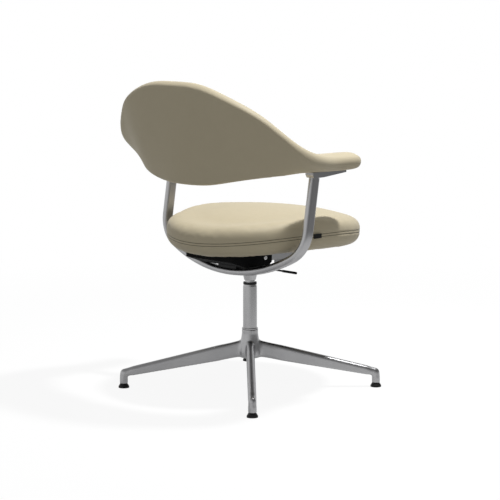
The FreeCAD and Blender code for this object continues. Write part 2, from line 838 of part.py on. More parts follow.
def build_tilt_stop():
    """The rubber block on the housing's rear slope, which the frame meets when it is tilted back."""
    body = new_body("tilt_stop")
    rear = S("housing_rear")
    front = rear - S("stop_length")
    slope = S("housing_slope") / (rear - slope_start())
    foot_rear = S("housing_top") - S("housing_slope")
    foot_front = S("housing_top") - (front - slope_start()) * slope
    block = polygon(new_sketch(body, "YZ_Plane"), [
        (rear, foot_rear), (rear, tilted_plate(rear) - S("face_gap")),
        (front, tilted_plate(front) - S("face_gap")), (front, foot_front),
    ])
    thicken(body, block, S("stop_width"), both_ways=True)
    place(body)
    return keep("tilt_stop", body)


def tilted_plate(setback):
    """The height of the frame plate's underside at a setback, when it is tilted back to its limit."""
    rise = (S("plate_bottom") - S("axle_height")) / cosine(S("tilt_limit"))
    return S("axle_height") + rise - (setback + S("axle_forward")) * tangent(S("tilt_limit"))


def seat_underside(forward):
    """The height of the arched seat's underside at a distance forward of the column."""
    off = forward - S("seat_apex_forward")
    low = S("seat_apex_height") - S("band_height") - S("pan_height")
    return low - off * off / (S("seat_arch_radius") * 2)


def build_tilt_frame():
    """The cast frame that rocks on the axle: a plate, seat wings, axle lugs and the yoke's saddle."""
    body = new_body("tilt_frame")
    drop = S("panel_thickness") + S("face_gap") * 2
    front_top = seat_underside(S("frame_forward")) - drop
    rear_top = seat_underside(-S("frame_setback")) - drop
    plate_top = S("plate_bottom") + S("frame_plate")
    half = S("frame_half_width")
    plate = polygon(new_sketch(body, "YZ_Plane"), [
        (-S("frame_forward") + S("plate_bevel"), S("plate_bottom")),
        (S("frame_setback") - S("plate_bevel"), S("plate_bottom")),
        (S("frame_setback"), plate_top), (-S("frame_forward"), plate_top),
    ])
    thicken(body, plate, half * 2, both_ways=True)
    wing = polygon(new_sketch(body, "YZ_Plane", half - S("frame_wall")), [
        (-S("frame_forward"), plate_top), (S("frame_setback"), plate_top),
        (S("frame_setback"), rear_top), (-S("frame_forward"), front_top),
    ])
    wing_pad = thicken(body, wing, S("frame_wall"))
    flange = polygon(new_sketch(body, "YZ_Plane", half - S("flange_width")), [
        (-S("frame_forward"), front_top - S("flange_thickness")),
        (S("frame_setback"), rear_top - S("flange_thickness")),
        (S("frame_setback"), rear_top), (-S("frame_forward"), front_top),
    ])
    flange_pad = thicken(body, flange, S("flange_width"))
    lug = new_sketch(body, "YZ_Plane", S("housing_half_width") + S("lug_gap"))
    lug_bottom = S("axle_height") - S("lug_radius")
    lug_front = -S("axle_forward") - S("lug_radius")
    lug_rear = -S("axle_forward") + S("lug_radius")
    polygon(lug, [
        (lug_front, S("plate_bottom") + PAST),
        (lug_front, lug_bottom + S("lug_bevel")),
        (lug_front + S("lug_bevel"), lug_bottom),
        (lug_rear - S("lug_bevel"), lug_bottom),
        (lug_rear, lug_bottom + S("lug_bevel")),
        (lug_rear, S("plate_bottom") + PAST),
    ])
    lug_pad = thicken(body, lug, S("lug_thickness"))
    mirror(body, [wing_pad, flange_pad, lug_pad], "YZ_Plane")
    saddle = polygon(new_sketch(body, "YZ_Plane"), [
        (S("yoke_setback") - S("saddle_half_depth"), S("saddle_bottom")),
        (S("yoke_setback") + S("saddle_half_depth"), S("saddle_bottom")),
        (S("yoke_setback") + S("saddle_half_depth"), S("plate_bottom") + PAST),
        (S("yoke_setback") - S("saddle_half_depth"), S("plate_bottom") + PAST),
    ])
    thicken(body, saddle, S("saddle_half_width") * 2, both_ways=True)
    place(body)
    return body


def build_cover():
    """The black cover round the frame's rear, open at the top, with a notch for the saddle."""
    body = new_body("mechanism_cover")
    wall = S("cover_wall")
    inner = S("frame_half_width") + S("face_gap")
    start = S("cover_start")
    end = S("cover_setback")
    floor = S("cover_bottom")
    drop = S("panel_thickness") + S("face_gap") + S("cover_gap")
    top_front = seat_underside(-start) - drop
    top_rear = seat_underside(-end) - drop
    rear_foot = top_rear - S("cover_rear_height")
    thicken(body, polygon(new_sketch(body, "YZ_Plane"), [
        (start, floor + S("cover_bevel")), (start + S("cover_bevel_run"), floor),
        (S("cover_slope_start"), floor), (end, rear_foot), (end, top_rear), (start, top_front),
    ]), (inner + wall) * 2, both_ways=True)
    thicken(body, polygon(new_sketch(body, "YZ_Plane"), [
        (start - PAST, floor + S("cover_bevel")), (start + S("cover_bevel_run") - wall, floor + wall),
        (S("cover_slope_start"), floor + wall), (end - wall, rear_foot + wall),
        (end - wall, top_rear + PAST), (start - PAST, top_front + PAST),
    ]), inner * 2, both_ways=True, kind="PartDesign::Pocket")
    notch_half = S("saddle_half_width") + S("saddle_gap")
    notch_end = S("yoke_setback") + S("saddle_half_depth") + S("saddle_gap")
    notch_top = floor + S("cover_bevel") + wall + PAST
    notch = polygon(new_sketch(body, "XY_Plane", notch_top), [
        (-notch_half, start - PAST), (notch_half, start - PAST),
        (notch_half, notch_end), (-notch_half, notch_end),
    ])
    thicken(body, notch, notch_top - floor + PAST, kind="PartDesign::Pocket")
    place(body)
    return body


def screw(spot, direction, length, sink=0.0):
    """A button-head screw from the seat of its head, pointing along a direction."""
    radius = value("screw_radius")
    head_radius = value("screw_head_radius")
    head_height = value("screw_head_height")
    start = spot + direction * sink
    shank = Part.makeCylinder(radius, length, start, direction)
    head = Part.makeCylinder(head_radius, head_height, start - direction * head_height, direction)
    rim = [edge for edge in head.Edges if edge.Closed
           and abs((edge.CenterOfMass - start).dot(direction) + head_height) < 1e-6]
    head = head.makeFillet(head_height / 2, rim)
    return shank.fuse(head).removeSplitter()


def build_screws():
    """The groups of screws: yoke, cover, seat and arm brackets."""
    up = Vector(0, 0, 1)
    spacing = value("yoke_screw_spacing") / 2
    foot = value("yoke_bottom") - value("yoke_thickness") / 2
    yoke = [
        screw(Vector(side * spacing, value("yoke_setback"), foot), up,
              value("yoke_screw_length"), value("screw_sink"))
        for side in (-1, 1)
    ]
    cover_face = value("frame_half_width") + value("face_gap") + value("cover_wall")
    cover = [
        screw(Vector(side * cover_face, value("cover_screw_setback"), value("cover_screw_height")),
              Vector(-side, 0, 0), value("cover_screw_length"))
        for side in (-1, 1)
    ]
    seat = []
    under = value("panel_thickness") + 2 * value("face_gap") + value("flange_thickness")
    for side in (-1, 1):
        for forward in (value("seat_screw_front"), -value("seat_screw_rear")):
            spot = Vector(side * (value("frame_half_width") - value("flange_width") / 2), -forward,
                          number(seat_underside(forward)) - under)
            seat.append(screw(spot, up, under + value("seat_screw_depth")))
    arms = []
    recess = value("bracket_recess")
    for side in (-1, 1):
        for forward in (value("bracket_screw_first"), value("bracket_screw_second")):
            spot = Vector(side * value("yoke_half_span"), -forward,
                          value("arm_underside") - recess)
            arms.append(screw(spot, up, recess + value("bracket_screw_depth")))
    return {
        "yoke_screws": solid_feature("yoke_screws", Part.makeCompound(yoke)),
        "cover_screws": solid_feature("cover_screws", Part.makeCompound(cover)),
        "seat_screws": solid_feature("seat_screws", Part.makeCompound(seat)),
        "bracket_screws": solid_feature("bracket_screws", Part.makeCompound(arms)),
    }


# Height lever


def build_lever():
    """The bent height lever with its pivot boss, the grip on its outer end, and its pin."""
    line = number(lever_line())
    low = line - value("lever_drop")
    route = [
        Vector(value("lever_nose"), 0, line), Vector(-value("lever_crank_start"), 0, line),
        Vector(-value("lever_crank_end"), 0, low), Vector(-value("lever_reach"), 0, low),
    ]
    spine = rounded_path(route, value("lever_bend"))
    section = Part.Wire(Part.Circle(route[0], Vector(1, 0, 0), value("lever_radius")).toShape())
    rod = spine.makePipeShell([section], True, False)
    pivot = Vector(-value("lever_pivot"), 0, line)
    across = Vector(0, 1, 0)
    half = value("lever_boss_width") / 2
    boss = Part.makeCylinder(value("lever_boss_radius"), 2 * half, pivot - across * half, across)
    hole = Part.makeCylinder(value("pin_radius") + value("running_clearance"), 4 * half,
                             pivot - across * 2 * half, across)
    grip_start = Vector(-value("lever_reach") - value("grip_overhang"), 0, low)
    outer = Part.makeCylinder(value("grip_radius"), value("grip_length"), grip_start, Vector(1, 0, 0))
    ends = [edge for edge in outer.Edges if edge.Closed]
    outer = outer.makeFillet(value("grip_radius") / 2, ends)
    rod = rod.fuse(boss).removeSplitter().cut(hole)
    solid_feature("height_lever", rod)
    solid_feature("lever_grip", outer.cut(rod))
    pin_half = number(pin_length()) / 2
    solid_feature("lever_pin", Part.makeCylinder(value("pin_radius"), 2 * pin_half,
                                                 pivot - across * pin_half, across))


def rounded_path(corners, radius):
    """A wire of straight runs joined by tangent arcs of one radius."""
    edges = []
    start = corners[0]
    for before, corner, after in zip(corners, corners[1:], corners[2:]):
        into = (corner - before).normalize()
        out = (after - corner).normalize()
        half = math.acos(max(-1.0, min(1.0, into.dot(out)))) / 2
        trim = radius * math.tan(half)
        arc_start = corner - into * trim
        arc_end = corner + out * trim
        bisector = (out - into).normalize()
        centre = corner + bisector * (radius / math.cos(half))
        middle = centre - bisector * radius
        edges.append(Part.LineSegment(start, arc_start).toShape())
        edges.append(Part.Arc(arc_start, middle, arc_end).toShape())
        start = arc_end
    edges.append(Part.LineSegment(start, corners[-1]).toShape())
    return Part.Wire(edges)


# Yoke and arm brackets


def build_yoke():
    """The oval bar bent to a U: a wide arc under the seat, two corner arcs and two uprights."""
    body = new_body("yoke")
    top = yoke_rise / cosine(S("yoke_lean"))
    span = S("yoke_half_span")
    corner = S("yoke_corner_radius")
    height = S("yoke_arch_height")
    reach = span - corner
    arch = (reach * reach + height * height - corner * corner) / ((height - corner) * 2)
    path = new_sketch(body, "XZ_Plane")
    arch_centre = Vector(0, number(arch), 0)
    right_centre = Vector(number(reach), number(height), 0)
    toward = (right_centre - arch_centre).normalize()
    swing = math.atan2(toward.y, toward.x)
    ring = Part.Circle(right_centre, Vector(0, 0, 1), number(corner))
    left_ring = Part.Circle(Vector(-number(reach), number(height), 0), Vector(0, 0, 1), number(corner))
    big_ring = Part.Circle(arch_centre, Vector(0, 0, 1), number(arch))
    join = Vector(number(span), number(height), 0)
    path.addGeometry(Part.LineSegment(Vector(number(span), number(top), 0), join), False)
    path.addGeometry(Part.ArcOfCircle(ring, swing, 0), False)
    path.addGeometry(Part.ArcOfCircle(big_ring, math.pi - swing, swing), False)
    path.addGeometry(Part.ArcOfCircle(left_ring, math.pi, math.pi - swing), False)
    path.addGeometry(Part.LineSegment(Vector(-number(span), number(height), 0),
                                      Vector(-number(span), number(top), 0)), False)
    for first, first_end, second, second_end in ((0, 2, 1, 2), (1, 1, 2, 2), (2, 1, 3, 2), (3, 1, 4, 1)):
        path.addConstraint(Sketcher.Constraint("Tangent", first, first_end, second, second_end))
    path.addConstraint(Sketcher.Constraint("Vertical", 0))
    path.addConstraint(Sketcher.Constraint("Vertical", 4))
    pin_point(path, 0, 1, (span, top))
    pin_point(path, 4, 2, (-span, top))
    pin_point(path, 2, 3, (0.0, arch))
    for edge, radius in ((1, corner), (3, corner), (2, arch)):
        rule = path.addConstraint(Sketcher.Constraint("Radius", edge, number(radius)))
        path.setExpression("Constraints[%d]" % rule, words(radius))
    section = new_sketch(body, "XY_Plane", top)
    half = S("yoke_thickness") / 2
    flat = S("yoke_depth") / 2 - half
    oval(section, span, half, flat)
    bar = body.newObject("PartDesign::AdditivePipe", "yoke_bar")
    bar.Profile = section
    bar.Spine = (path, [""])
    place(body, y=S("yoke_setback"), z=S("yoke_bottom"), axis=Vector(1, 0, 0), angle=S("yoke_lean"))
    return body


def oval(sketch, across, half, flat):
    """A slot-shaped outline, round at its front and rear, centred at a distance across."""
    x = number(across)
    radius = number(half)
    reach = number(flat)
    for side, sweep in ((1, (0.0, math.pi)), (-1, (math.pi, 0.0))):
        ring = Part.Circle(Vector(x, side * reach, 0), Vector(0, 0, 1), radius)
        sketch.addGeometry(Part.ArcOfCircle(ring, *sweep), False)
    sketch.addGeometry(Part.LineSegment(Vector(x - radius, reach, 0), Vector(x - radius, -reach, 0)), False)
    sketch.addGeometry(Part.LineSegment(Vector(x + radius, -reach, 0), Vector(x + radius, reach, 0)), False)
    for first, first_end, second, second_end in ((0, 2, 2, 1), (2, 2, 1, 1), (1, 2, 3, 1), (3, 2, 0, 1)):
        sketch.addConstraint(Sketcher.Constraint("Tangent", first, first_end, second, second_end))
    pin_point(sketch, 0, 3, (across, flat))
    pin_point(sketch, 1, 3, (across, -flat))
    rule = sketch.addConstraint(Sketcher.Constraint("Radius", 0, radius))
    sketch.setExpression("Constraints[%d]" % rule, words(half))


def build_bracket(label, side):
    """One arm bracket: a tapered head on an upright's top, running forward under the arm."""
    body = new_body(label)
    top = S("arm_underside")
    sketch = polygon(new_sketch(body, "YZ_Plane"), [
        (S("bracket_setback"), top),
        (S("bracket_setback"), top - S("bracket_tip")),
        (S("bracket_setback") - S("bracket_heel"), top - S("bracket_depth")),
        (S("bracket_knee"), top - S("bracket_depth")),
        (-S("bracket_forward"), top - S("bracket_tip")),
        (-S("bracket_forward"), top),
    ])
    thicken(body, sketch, S("bracket_width"), both_ways=True)
    recess = new_sketch(body, "XY_Plane", top - S("bracket_recess"))
    for forward in ("bracket_screw_first", "bracket_screw_second"):
        circle(recess, (Size(0.0, "0"), -S(forward)), S("screw_head_radius") + S("screw_room"))
    thicken(body, recess, S("bracket_depth"), kind="PartDesign::Pocket")
    place(body, x=S("yoke_half_span") * side)
    return body


# Seat


def seat_outline(inset):
    """The seat's plan as one smooth closed wire, inside the full outline by an inset."""
    corner_inset = inset * math.sqrt(0.5)
    half = value("seat_half_width") - inset
    wide = -value("seat_widest_setback")
    front = value("seat_front_reach") - inset
    rear = -value("seat_rear_reach") + inset
    front_corner = (value("front_corner_width") - corner_inset, value("front_corner_reach") - corner_inset)
    rear_corner = (value("rear_corner_width") - corner_inset, -value("rear_corner_reach") + corner_inset)
    points = [
        (half, wide), front_corner, (0, front), (-front_corner[0], front_corner[1]),
        (-half, wide), (-rear_corner[0], rear_corner[1]), (0, rear), rear_corner,
    ]
    curve = Part.BSplineCurve()
    curve.interpolate([Vector(across, -forward, 0) for across, forward in points], PeriodicFlag=True)
    return Part.Wire(curve.toShape())


def seat_room():
    """How far above and below the seat's seam the tools that cut its layers reach."""
    return 2 * (value("cushion_height") + value("pan_height"))


def seat_prism(inset):
    """An upright prism on the seat's outline, taller than the whole seat."""
    reach = seat_room()
    prism = Part.Face(seat_outline(inset)).extrude(Vector(0, 0, 2 * reach))
    prism.translate(Vector(0, 0, value("seat_apex_height") - reach))
    return prism


def seat_layer(inset, low, high, hollow=None):
    """A layer of the arched seat between two levels above its seam, inside an outline.

    Where hollow is given, the layer is a ring, and hollow is the inset of its inner outline.
    """
    centre = Vector(-value("seat_half_width") * 2, -value("seat_apex_forward"),
                    value("seat_apex_height") - value("seat_arch_radius"))
    length = value("seat_half_width") * 4
    across = Vector(1, 0, 0)
    outer = Part.makeCylinder(value("seat_arch_radius") + high, length, centre, across)
    inner = Part.makeCylinder(value("seat_arch_radius") + low, length, centre, across)
    layer = seat_prism(inset).common(outer).cut(inner)
    if hollow is not None:
        layer = layer.cut(seat_prism(hollow))
    return layer


def rounded_edge(solid, radius, above=True):
    """A solid with the outer edge loop of its topmost or lowest face rounded."""
    key = (lambda edge: edge.BoundBox.ZMax) if above else (lambda edge: -edge.BoundBox.ZMin)
    reach = 0.9 * value("seat_half_width")
    loops = [edge for edge in solid.Edges if min(edge.BoundBox.XLength, edge.BoundBox.YLength) > reach]
    highest = max(key(edge) for edge in loops)
    picked = [edge for edge in loops if highest - key(edge) < radius / 3]
    return solid.makeFillet(radius, picked)


def build_seat(seat_screws):
    """The seat: upholstered pan, board, border band, cushion, under panel and the tab in its seam."""
    gap = value("face_gap")
    band = value("band_height")
    bottom = -band - value("pan_height")
    board_low = bottom + value("board_foam")
    board_high = board_low + value("board_thickness")
    pan = rounded_edge(seat_layer(0, bottom, -band), value("pan_rounding"), above=False)
    room = seat_layer(value("board_inset") - gap, board_low - gap, board_high + gap)
    pan = solid_feature("seat_pan_blank", pan.cut(room), keep_it=False)
    cut_from("seat_pan", pan, [seat_screws])
    board = solid_feature("seat_board_blank", seat_layer(value("board_inset"), board_low, board_high),
                          keep_it=False)
    cut_from("seat_board", board, [seat_screws])
    panel_high = bottom - gap
    panel = solid_feature("seat_panel_blank",
                          seat_layer(value("panel_inset"), panel_high - value("panel_thickness"), panel_high),
                          keep_it=False)
    cut_from("seat_under_panel", panel, [seat_screws])
    solid_feature("seat_band", seat_layer(0, -band + gap, -gap, hollow=value("band_depth")))
    cushion = seat_layer(0, 0, seat_room()).common(seat_dome())
    solid_feature("seat_cushion", rounded_edge(cushion, value("cushion_rounding")))
    reach = value("tab_height") / 2
    tab = seat_layer(-gap - value("tab_thickness"), -band / 2 - reach, -band / 2 + reach, hollow=-gap)
    window = Part.makeBox(value("seat_half_width"), value("tab_length"), 2 * seat_room(),
                          Vector(-1.5 * value("seat_half_width"),
                                 -value("tab_forward") - value("tab_length") / 2,
                                 value("seat_apex_height") - seat_room()))
    solid_feature("seam_tab", tab.common(window))


def seat_dome():
    """The ring whose top is the cushion's dome: flat from side to side, arched from front to rear."""
    drop = value("cushion_dome_drop")
    half = value("seat_half_width")
    across = (half * half + drop * drop) / (2 * drop)
    along = 1 / (1 / value("seat_arch_radius") + 1 / across)
    ring = Part.makeTorus(across - along, along, Vector(0, 0, 0), Vector(0, 1, 0))
    top = value("seat_apex_height") + value("cushion_height")
    ring.translate(Vector(0, -value("seat_apex_forward"), top - across))
    return ring


# Back and arms


# Reaches of the sections' corners and ends past the half height, as shares of the pad's half thickness.
SHELL_EDGE = 0.45
SHELL_LIP = 0.8
SHELL_BULGE = 0.28
CUSHION_EDGE = 0.86
CUSHION_FACE = 0.2
CUSHION_BULGE = 0.93
# How far through the thickness each end bulges most, and how far the faces that meet are bowed.
END_SHARE = 0.42
SEAM_BOW = 0.5


def station_frame(name, side):
    """A station's point on the yoke's line, its outward direction and its numbers."""
    numbers = {key: value("%s_%s" % (name, key)) for key in STATION_KEYS}
    angle = math.radians(numbers["turn"])
    outward = Vector(side * math.sin(angle), math.cos(angle), 0)
    centre = Vector(0, number(yoke_top_setback), value("arm_underside"))
    point = centre + outward * value("yoke_half_span") + Vector(0, -numbers["run"], 0)
    return point, outward, numbers


def shell_wire(name, side, outline):
    """A closed wire of arcs at a station; outline gives its four corners and four mid points."""
    point, outward, numbers = station_frame(name, side)
    up = Vector(0, 0, 1)
    low = outward * numbers["low_out"] + up * numbers["low_height"]
    rim = outward * numbers["rim_out"] + up * numbers["rim_height"]
    along = (rim - low).normalize()
    away = outward * along.dot(up) - up * along.dot(outward)
    middle = point + (rim + low) * 0.5
    half = (rim - low).Length / 2
    corners, middles = outline(half, numbers["taper"])
    spots = [middle + along * reach + away * out for reach, out in corners]
    bends = [middle + along * reach + away * out for reach, out in middles]
    edges = []
    for index in range(4):
        edges.append(Part.Arc(spots[index], bends[index], spots[(index + 1) % 4]).toShape())
    return Part.Wire(edges)


def shell_outline(half, taper):
    """The outer shell's section: a bowed outer face, a bowed inner face and two short ends."""
    depth = value("pad_thickness") / 2 * taper
    wall = value("shell_thickness") * taper
    bow = value("shell_bow") * taper
    edge = half + depth * SHELL_EDGE
    inner = half + depth * SHELL_LIP
    bulge = edge + depth * SHELL_BULGE
    bulge_depth = depth - bow - (wall - bow) * END_SHARE
    corners = [(-edge, depth - bow), (edge, depth - bow), (inner, depth - wall), (-inner, depth - wall)]
    middles = [(0, depth), (bulge, bulge_depth), (0, depth - wall + SEAM_BOW), (-bulge, bulge_depth)]
    return corners, middles


def cushion_outline(half, taper):
    """The inner cushion's section: flat against the shell, rounded at both ends, crowned inside."""
    depth = value("pad_thickness") / 2 * taper
    seat = depth - value("shell_thickness") * taper - value("face_gap")
    crown = value("pad_crown") * taper
    edge = half + depth * CUSHION_EDGE
    inner = half + depth * CUSHION_FACE
    bulge = half + depth * CUSHION_BULGE
    corners = [(-edge, seat), (edge, seat), (inner, -depth), (-inner, -depth)]
    bend = -depth * END_SHARE
    middles = [(0, seat + SEAM_BOW), (bulge, bend), (0, -depth - crown), (-bulge, bend)]
    return corners, middles


def loft_round(outline):
    """A solid through every station, from the left arm's tip round the back to the right one's."""
    names = list(STATIONS)
    order = [(name, 1) for name in reversed(names)] + [(name, -1) for name in names[1:]]
    wires = [shell_wire(name, side, outline) for name, side in order]
    return Part.makeLoft(wires, True, False)


def build_back(fittings):
    """The teardrop shell from arm to arm, seated on its fittings, and the cushion inside it."""
    shell = solid_feature("back_shell_blank", loft_round(shell_outline), keep_it=False)
    cut_from("back_shell", shell, fittings)
    solid_feature("back_cushion", loft_round(cushion_outline))


def build_chair():
    """Every piece of the chair, from the floor up."""
    build_base()
    build_glides()
    build_column()
    build_housing()
    build_axle()
    build_tilt_stop()
    build_lever()
    screws = build_screws()
    yoke_bar = build_yoke()
    frame_blank = build_tilt_frame()
    frame_screws = [screws[name] for name in ("yoke_screws", "seat_screws", "cover_screws")]
    cut_from("tilt_frame", frame_blank, [yoke_bar, kept["tilt_axle"]] + frame_screws)
    cut_from("yoke", yoke_bar, [screws["yoke_screws"]])
    cut_from("mechanism_cover", build_cover(), [screws["cover_screws"]])
    for label, side in (("arm_bracket_right", -1), ("arm_bracket_left", 1)):
        cut_from(label, build_bracket(label, side), [screws["bracket_screws"], yoke_bar])
    build_seat(screws["seat_screws"])
    build_back([screws["bracket_screws"], kept["arm_bracket_right"], kept["arm_bracket_left"]])


def check_document():
    """Stop if any object failed or any kept piece is empty or broken."""
    for thing in doc.Objects:
        if "Invalid" in thing.State or "Error" in thing.State:
            raise RuntimeError("%s is %s" % (thing.Label, thing.State))
    for label, part in kept.items():
        if part.Shape.isNull() or not part.Shape.isValid() or not part.Shape.Solids:
            raise RuntimeError("%s has no valid solid" % label)


def export_parts():
    """Write each kept piece to its own file, named after its node."""
    os.makedirs("parts", exist_ok=True)
    for label, part in kept.items():
        part.Shape.exportStep("parts/%s.step" % label)


build_chair()
doc.recompute()
check_document()
export_parts()
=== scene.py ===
import logging
import math
from dataclasses import dataclass, field
from enum import Enum
from typing import Any, Optional, Sequence, Union

import bpy
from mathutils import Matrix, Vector
from mathutils.bvhtree import BVHTree


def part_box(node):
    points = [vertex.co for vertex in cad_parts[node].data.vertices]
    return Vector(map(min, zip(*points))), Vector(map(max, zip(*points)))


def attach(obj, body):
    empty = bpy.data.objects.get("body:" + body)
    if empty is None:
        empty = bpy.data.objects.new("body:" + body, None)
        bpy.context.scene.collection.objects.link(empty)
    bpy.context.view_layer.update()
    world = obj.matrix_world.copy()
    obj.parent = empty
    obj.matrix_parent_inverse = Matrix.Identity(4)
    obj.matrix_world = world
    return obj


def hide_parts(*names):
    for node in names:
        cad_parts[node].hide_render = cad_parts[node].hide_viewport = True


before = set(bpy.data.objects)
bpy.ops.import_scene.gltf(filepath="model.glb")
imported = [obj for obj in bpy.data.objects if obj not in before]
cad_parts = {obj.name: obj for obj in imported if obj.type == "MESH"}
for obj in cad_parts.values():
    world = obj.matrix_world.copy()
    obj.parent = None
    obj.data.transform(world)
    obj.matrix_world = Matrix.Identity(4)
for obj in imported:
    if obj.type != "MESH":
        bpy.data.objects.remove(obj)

logging.basicConfig(level=logging.INFO, format="%(message)s")
LOG = logging.getLogger("armchair")

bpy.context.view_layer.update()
NODES: dict[str, bpy.types.Object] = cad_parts
MM = 0.001

SWELL_FRAMES = 20
QUICK_SHARE = 0.6


class Rider(Enum):
    """The bodies that dressed pieces ride on."""

    BASE = "root"
    UPPER = "upper"


# Shader building


class Channel:
    """An output socket of a material's node tree that takes part in Python expressions."""

    def __init__(self, shop: "NodeShop", socket: bpy.types.NodeSocket) -> None:
        """Hold a socket and the tree it belongs to.

        Args:
            shop: The builder of the material's nodes.
            socket: The output socket that gives the value.
        """
        self.shop = shop
        self.socket = socket

    def _maths(self, operation: str, first: Any, second: Any) -> "Channel":
        """Add a Math node.

        Args:
            operation: The node's operation.
            first: Its first value or channel.
            second: Its second value or channel.

        Returns:
            The node's result.
        """
        return self.shop.node("ShaderNodeMath", {"operation": operation}, {0: first, 1: second})

    def __add__(self, other: Any) -> "Channel":
        """Add a number or channel."""
        return self._maths("ADD", self, other)

    def __radd__(self, other: Any) -> "Channel":
        """Be added to a number."""
        return self._maths("ADD", other, self)

    def __sub__(self, other: Any) -> "Channel":
        """Take away a number or channel."""
        return self._maths("SUBTRACT", self, other)

    def __rsub__(self, other: Any) -> "Channel":
        """Be taken away from a number."""
        return self._maths("SUBTRACT", other, self)

    def __mul__(self, other: Any) -> "Channel":
        """Multiply by a number or channel."""
        return self._maths("MULTIPLY", self, other)

    def __rmul__(self, other: Any) -> "Channel":
        """Be multiplied by a number."""
        return self._maths("MULTIPLY", other, self)

    def __truediv__(self, other: Any) -> "Channel":
        """Divide by a number or channel."""
        return self._maths("DIVIDE", self, other)

    def at_most(self, ceiling: Any) -> "Channel":
        """The smaller of this and another value."""
        return self._maths("MINIMUM", self, ceiling)


class NodeShop:
    """Builds the node tree of one material or of the world."""

    def __init__(self, tree: bpy.types.NodeTree) -> None:
        """Start from an empty tree.

        Args:
            tree: The tree to fill.
        """
        self.tree = tree
        self.tree.nodes.clear()

    def raw(self, kind: str, settings: dict[str, Any], inputs: dict[Any, Any]) -> bpy.types.Node:
        """Add a node, set it up and connect it.

        Args:
            kind: The node's type.
            settings: Its properties, set before its sockets.
            inputs: Values or channels by socket name or number.

        Returns:
            The node itself.
        """
        made = self.tree.nodes.new(kind)
        for name, value in settings.items():
            setattr(made, name, value)
        for key, value in inputs.items():
            if isinstance(value, Channel):
                self.tree.links.new(value.socket, made.inputs[key])
            else:
                made.inputs[key].default_value = value
        return made

    def node(self, kind: str, settings: dict[str, Any], inputs: dict[Any, Any],
             output: Union[int, str] = 0) -> Channel:
        """Add a node and give one of its outputs.

        Args:
            kind: The node's type.
            settings: Its properties, set before its sockets.
            inputs: Values or channels by socket name or number.
            output: The output's name or number.

        Returns:
            The chosen output.
        """
        return Channel(self, self.raw(kind, settings, inputs).outputs[output])

    def ramp(self, factor: Channel, stops: Sequence[tuple[float, tuple[float, float, float]]]) -> Channel:
        """A colour that follows a value.

        Args:
            factor: The value, from 0 to 1.
            stops: Places along it and their colours.

        Returns:
            The colour.
        """
        made = self.raw("ShaderNodeValToRGB", {}, {"Fac": factor})
        elements = made.color_ramp.elements
        for index, (place, colour) in enumerate(stops):
            element = elements[index] if index < 2 else elements.new(place)
            element.position = place
            element.color = (*colour, 1.0)
        return Channel(self, made.outputs["Color"])

    def blend(self, factor: Any, first: Any, second: Any) -> Channel:
        """Mix two colours.

        Args:
            factor: The share of the second colour.
            first: A colour or channel.
            second: A colour or channel.

        Returns:
            The mixed colour.
        """
        inputs = {"Factor": factor, 6: colour_value(first), 7: colour_value(second)}
        return self.node("ShaderNodeMix", {"data_type": "RGBA"}, inputs, 2)

    def band(self, value: Channel, low: float, high: float, start: float = 0.0, end: float = 1.0) -> Channel:
        """A smooth step.

        Args:
            value: The channel that drives it.
            low: Where the step begins.
            high: Where it ends.
            start: Its value before.
            end: Its value after.

        Returns:
            The stepped value.
        """
        inputs = {"Value": value, "From Min": low, "From Max": high, "To Min": start, "To Max": end}
        return self.node("ShaderNodeMapRange", {"interpolation_type": "SMOOTHSTEP"}, inputs)

    def place(self) -> Channel:
        """The point on the object, in metres."""
        return self.node("ShaderNodeTexCoord", {}, {}, "Object")

    def noise(self, scale: float, detail: float = 2.0, where: Optional[Channel] = None) -> Channel:
        """Soft noise from 0 to 1.

        Args:
            scale: Its features per metre.
            detail: Its octaves.
            where: The coordinates, or the point on the object.

        Returns:
            The noise value.
        """
        inputs = {"Vector": where or self.place(), "Scale": scale, "Detail": detail, "Roughness": 0.55}
        return self.node("ShaderNodeTexNoise", {}, inputs, "Fac")

    def cells(self, scale: float) -> Channel:
        """The distance to the borders of pebbled cells.

        Args:
            scale: Cells per metre.

        Returns:
            The distance, in cells.
        """
        inputs = {"Vector": self.place(), "Scale": scale, "Randomness": 1.0}
        return self.node("ShaderNodeTexVoronoi", {"feature": "SMOOTH_F1"}, inputs, "Distance")

    def bump(self, height: Channel, depth: float, strength: float = 1.0) -> Channel:
        """A normal that follows a height.

        Args:
            height: The height, from 0 to 1.
            depth: What a height of 1 stands for, in metres.
            strength: How much of it shows.

        Returns:
            The normal.
        """
        inputs = {"Height": height, "Distance": depth, "Strength": strength}
        return self.node("ShaderNodeBump", {}, inputs, "Normal")


def grey(level: float) -> tuple[float, float, float, float]:
    """A neutral colour with its alpha."""
    return level, level, level, 1.0


def colour_value(colour: Any) -> Any:
    """A colour with its alpha, or a channel as it is."""
    return colour if isinstance(colour, Channel) else (*colour, 1.0)


def new_material(name: str) -> tuple[bpy.types.Material, NodeShop]:
    """An empty material and the builder of its nodes.

    Args:
        name: The material's name.

    Returns:
        The material and its builder.
    """
    material = bpy.data.materials.new(name)
    material.use_nodes = True
    return material, NodeShop(material.node_tree)


def finish_surface(shop: NodeShop, inputs: dict[str, Any]) -> None:
    """Put a Principled surface on the material's output.

    Args:
        shop: The material's builder.
        inputs: The Principled node's inputs by name.
    """
    surface = shop.node("ShaderNodeBsdfPrincipled", {}, inputs, "BSDF")
    shop.raw("ShaderNodeOutputMaterial", {}, {"Surface": surface})


# Finishes


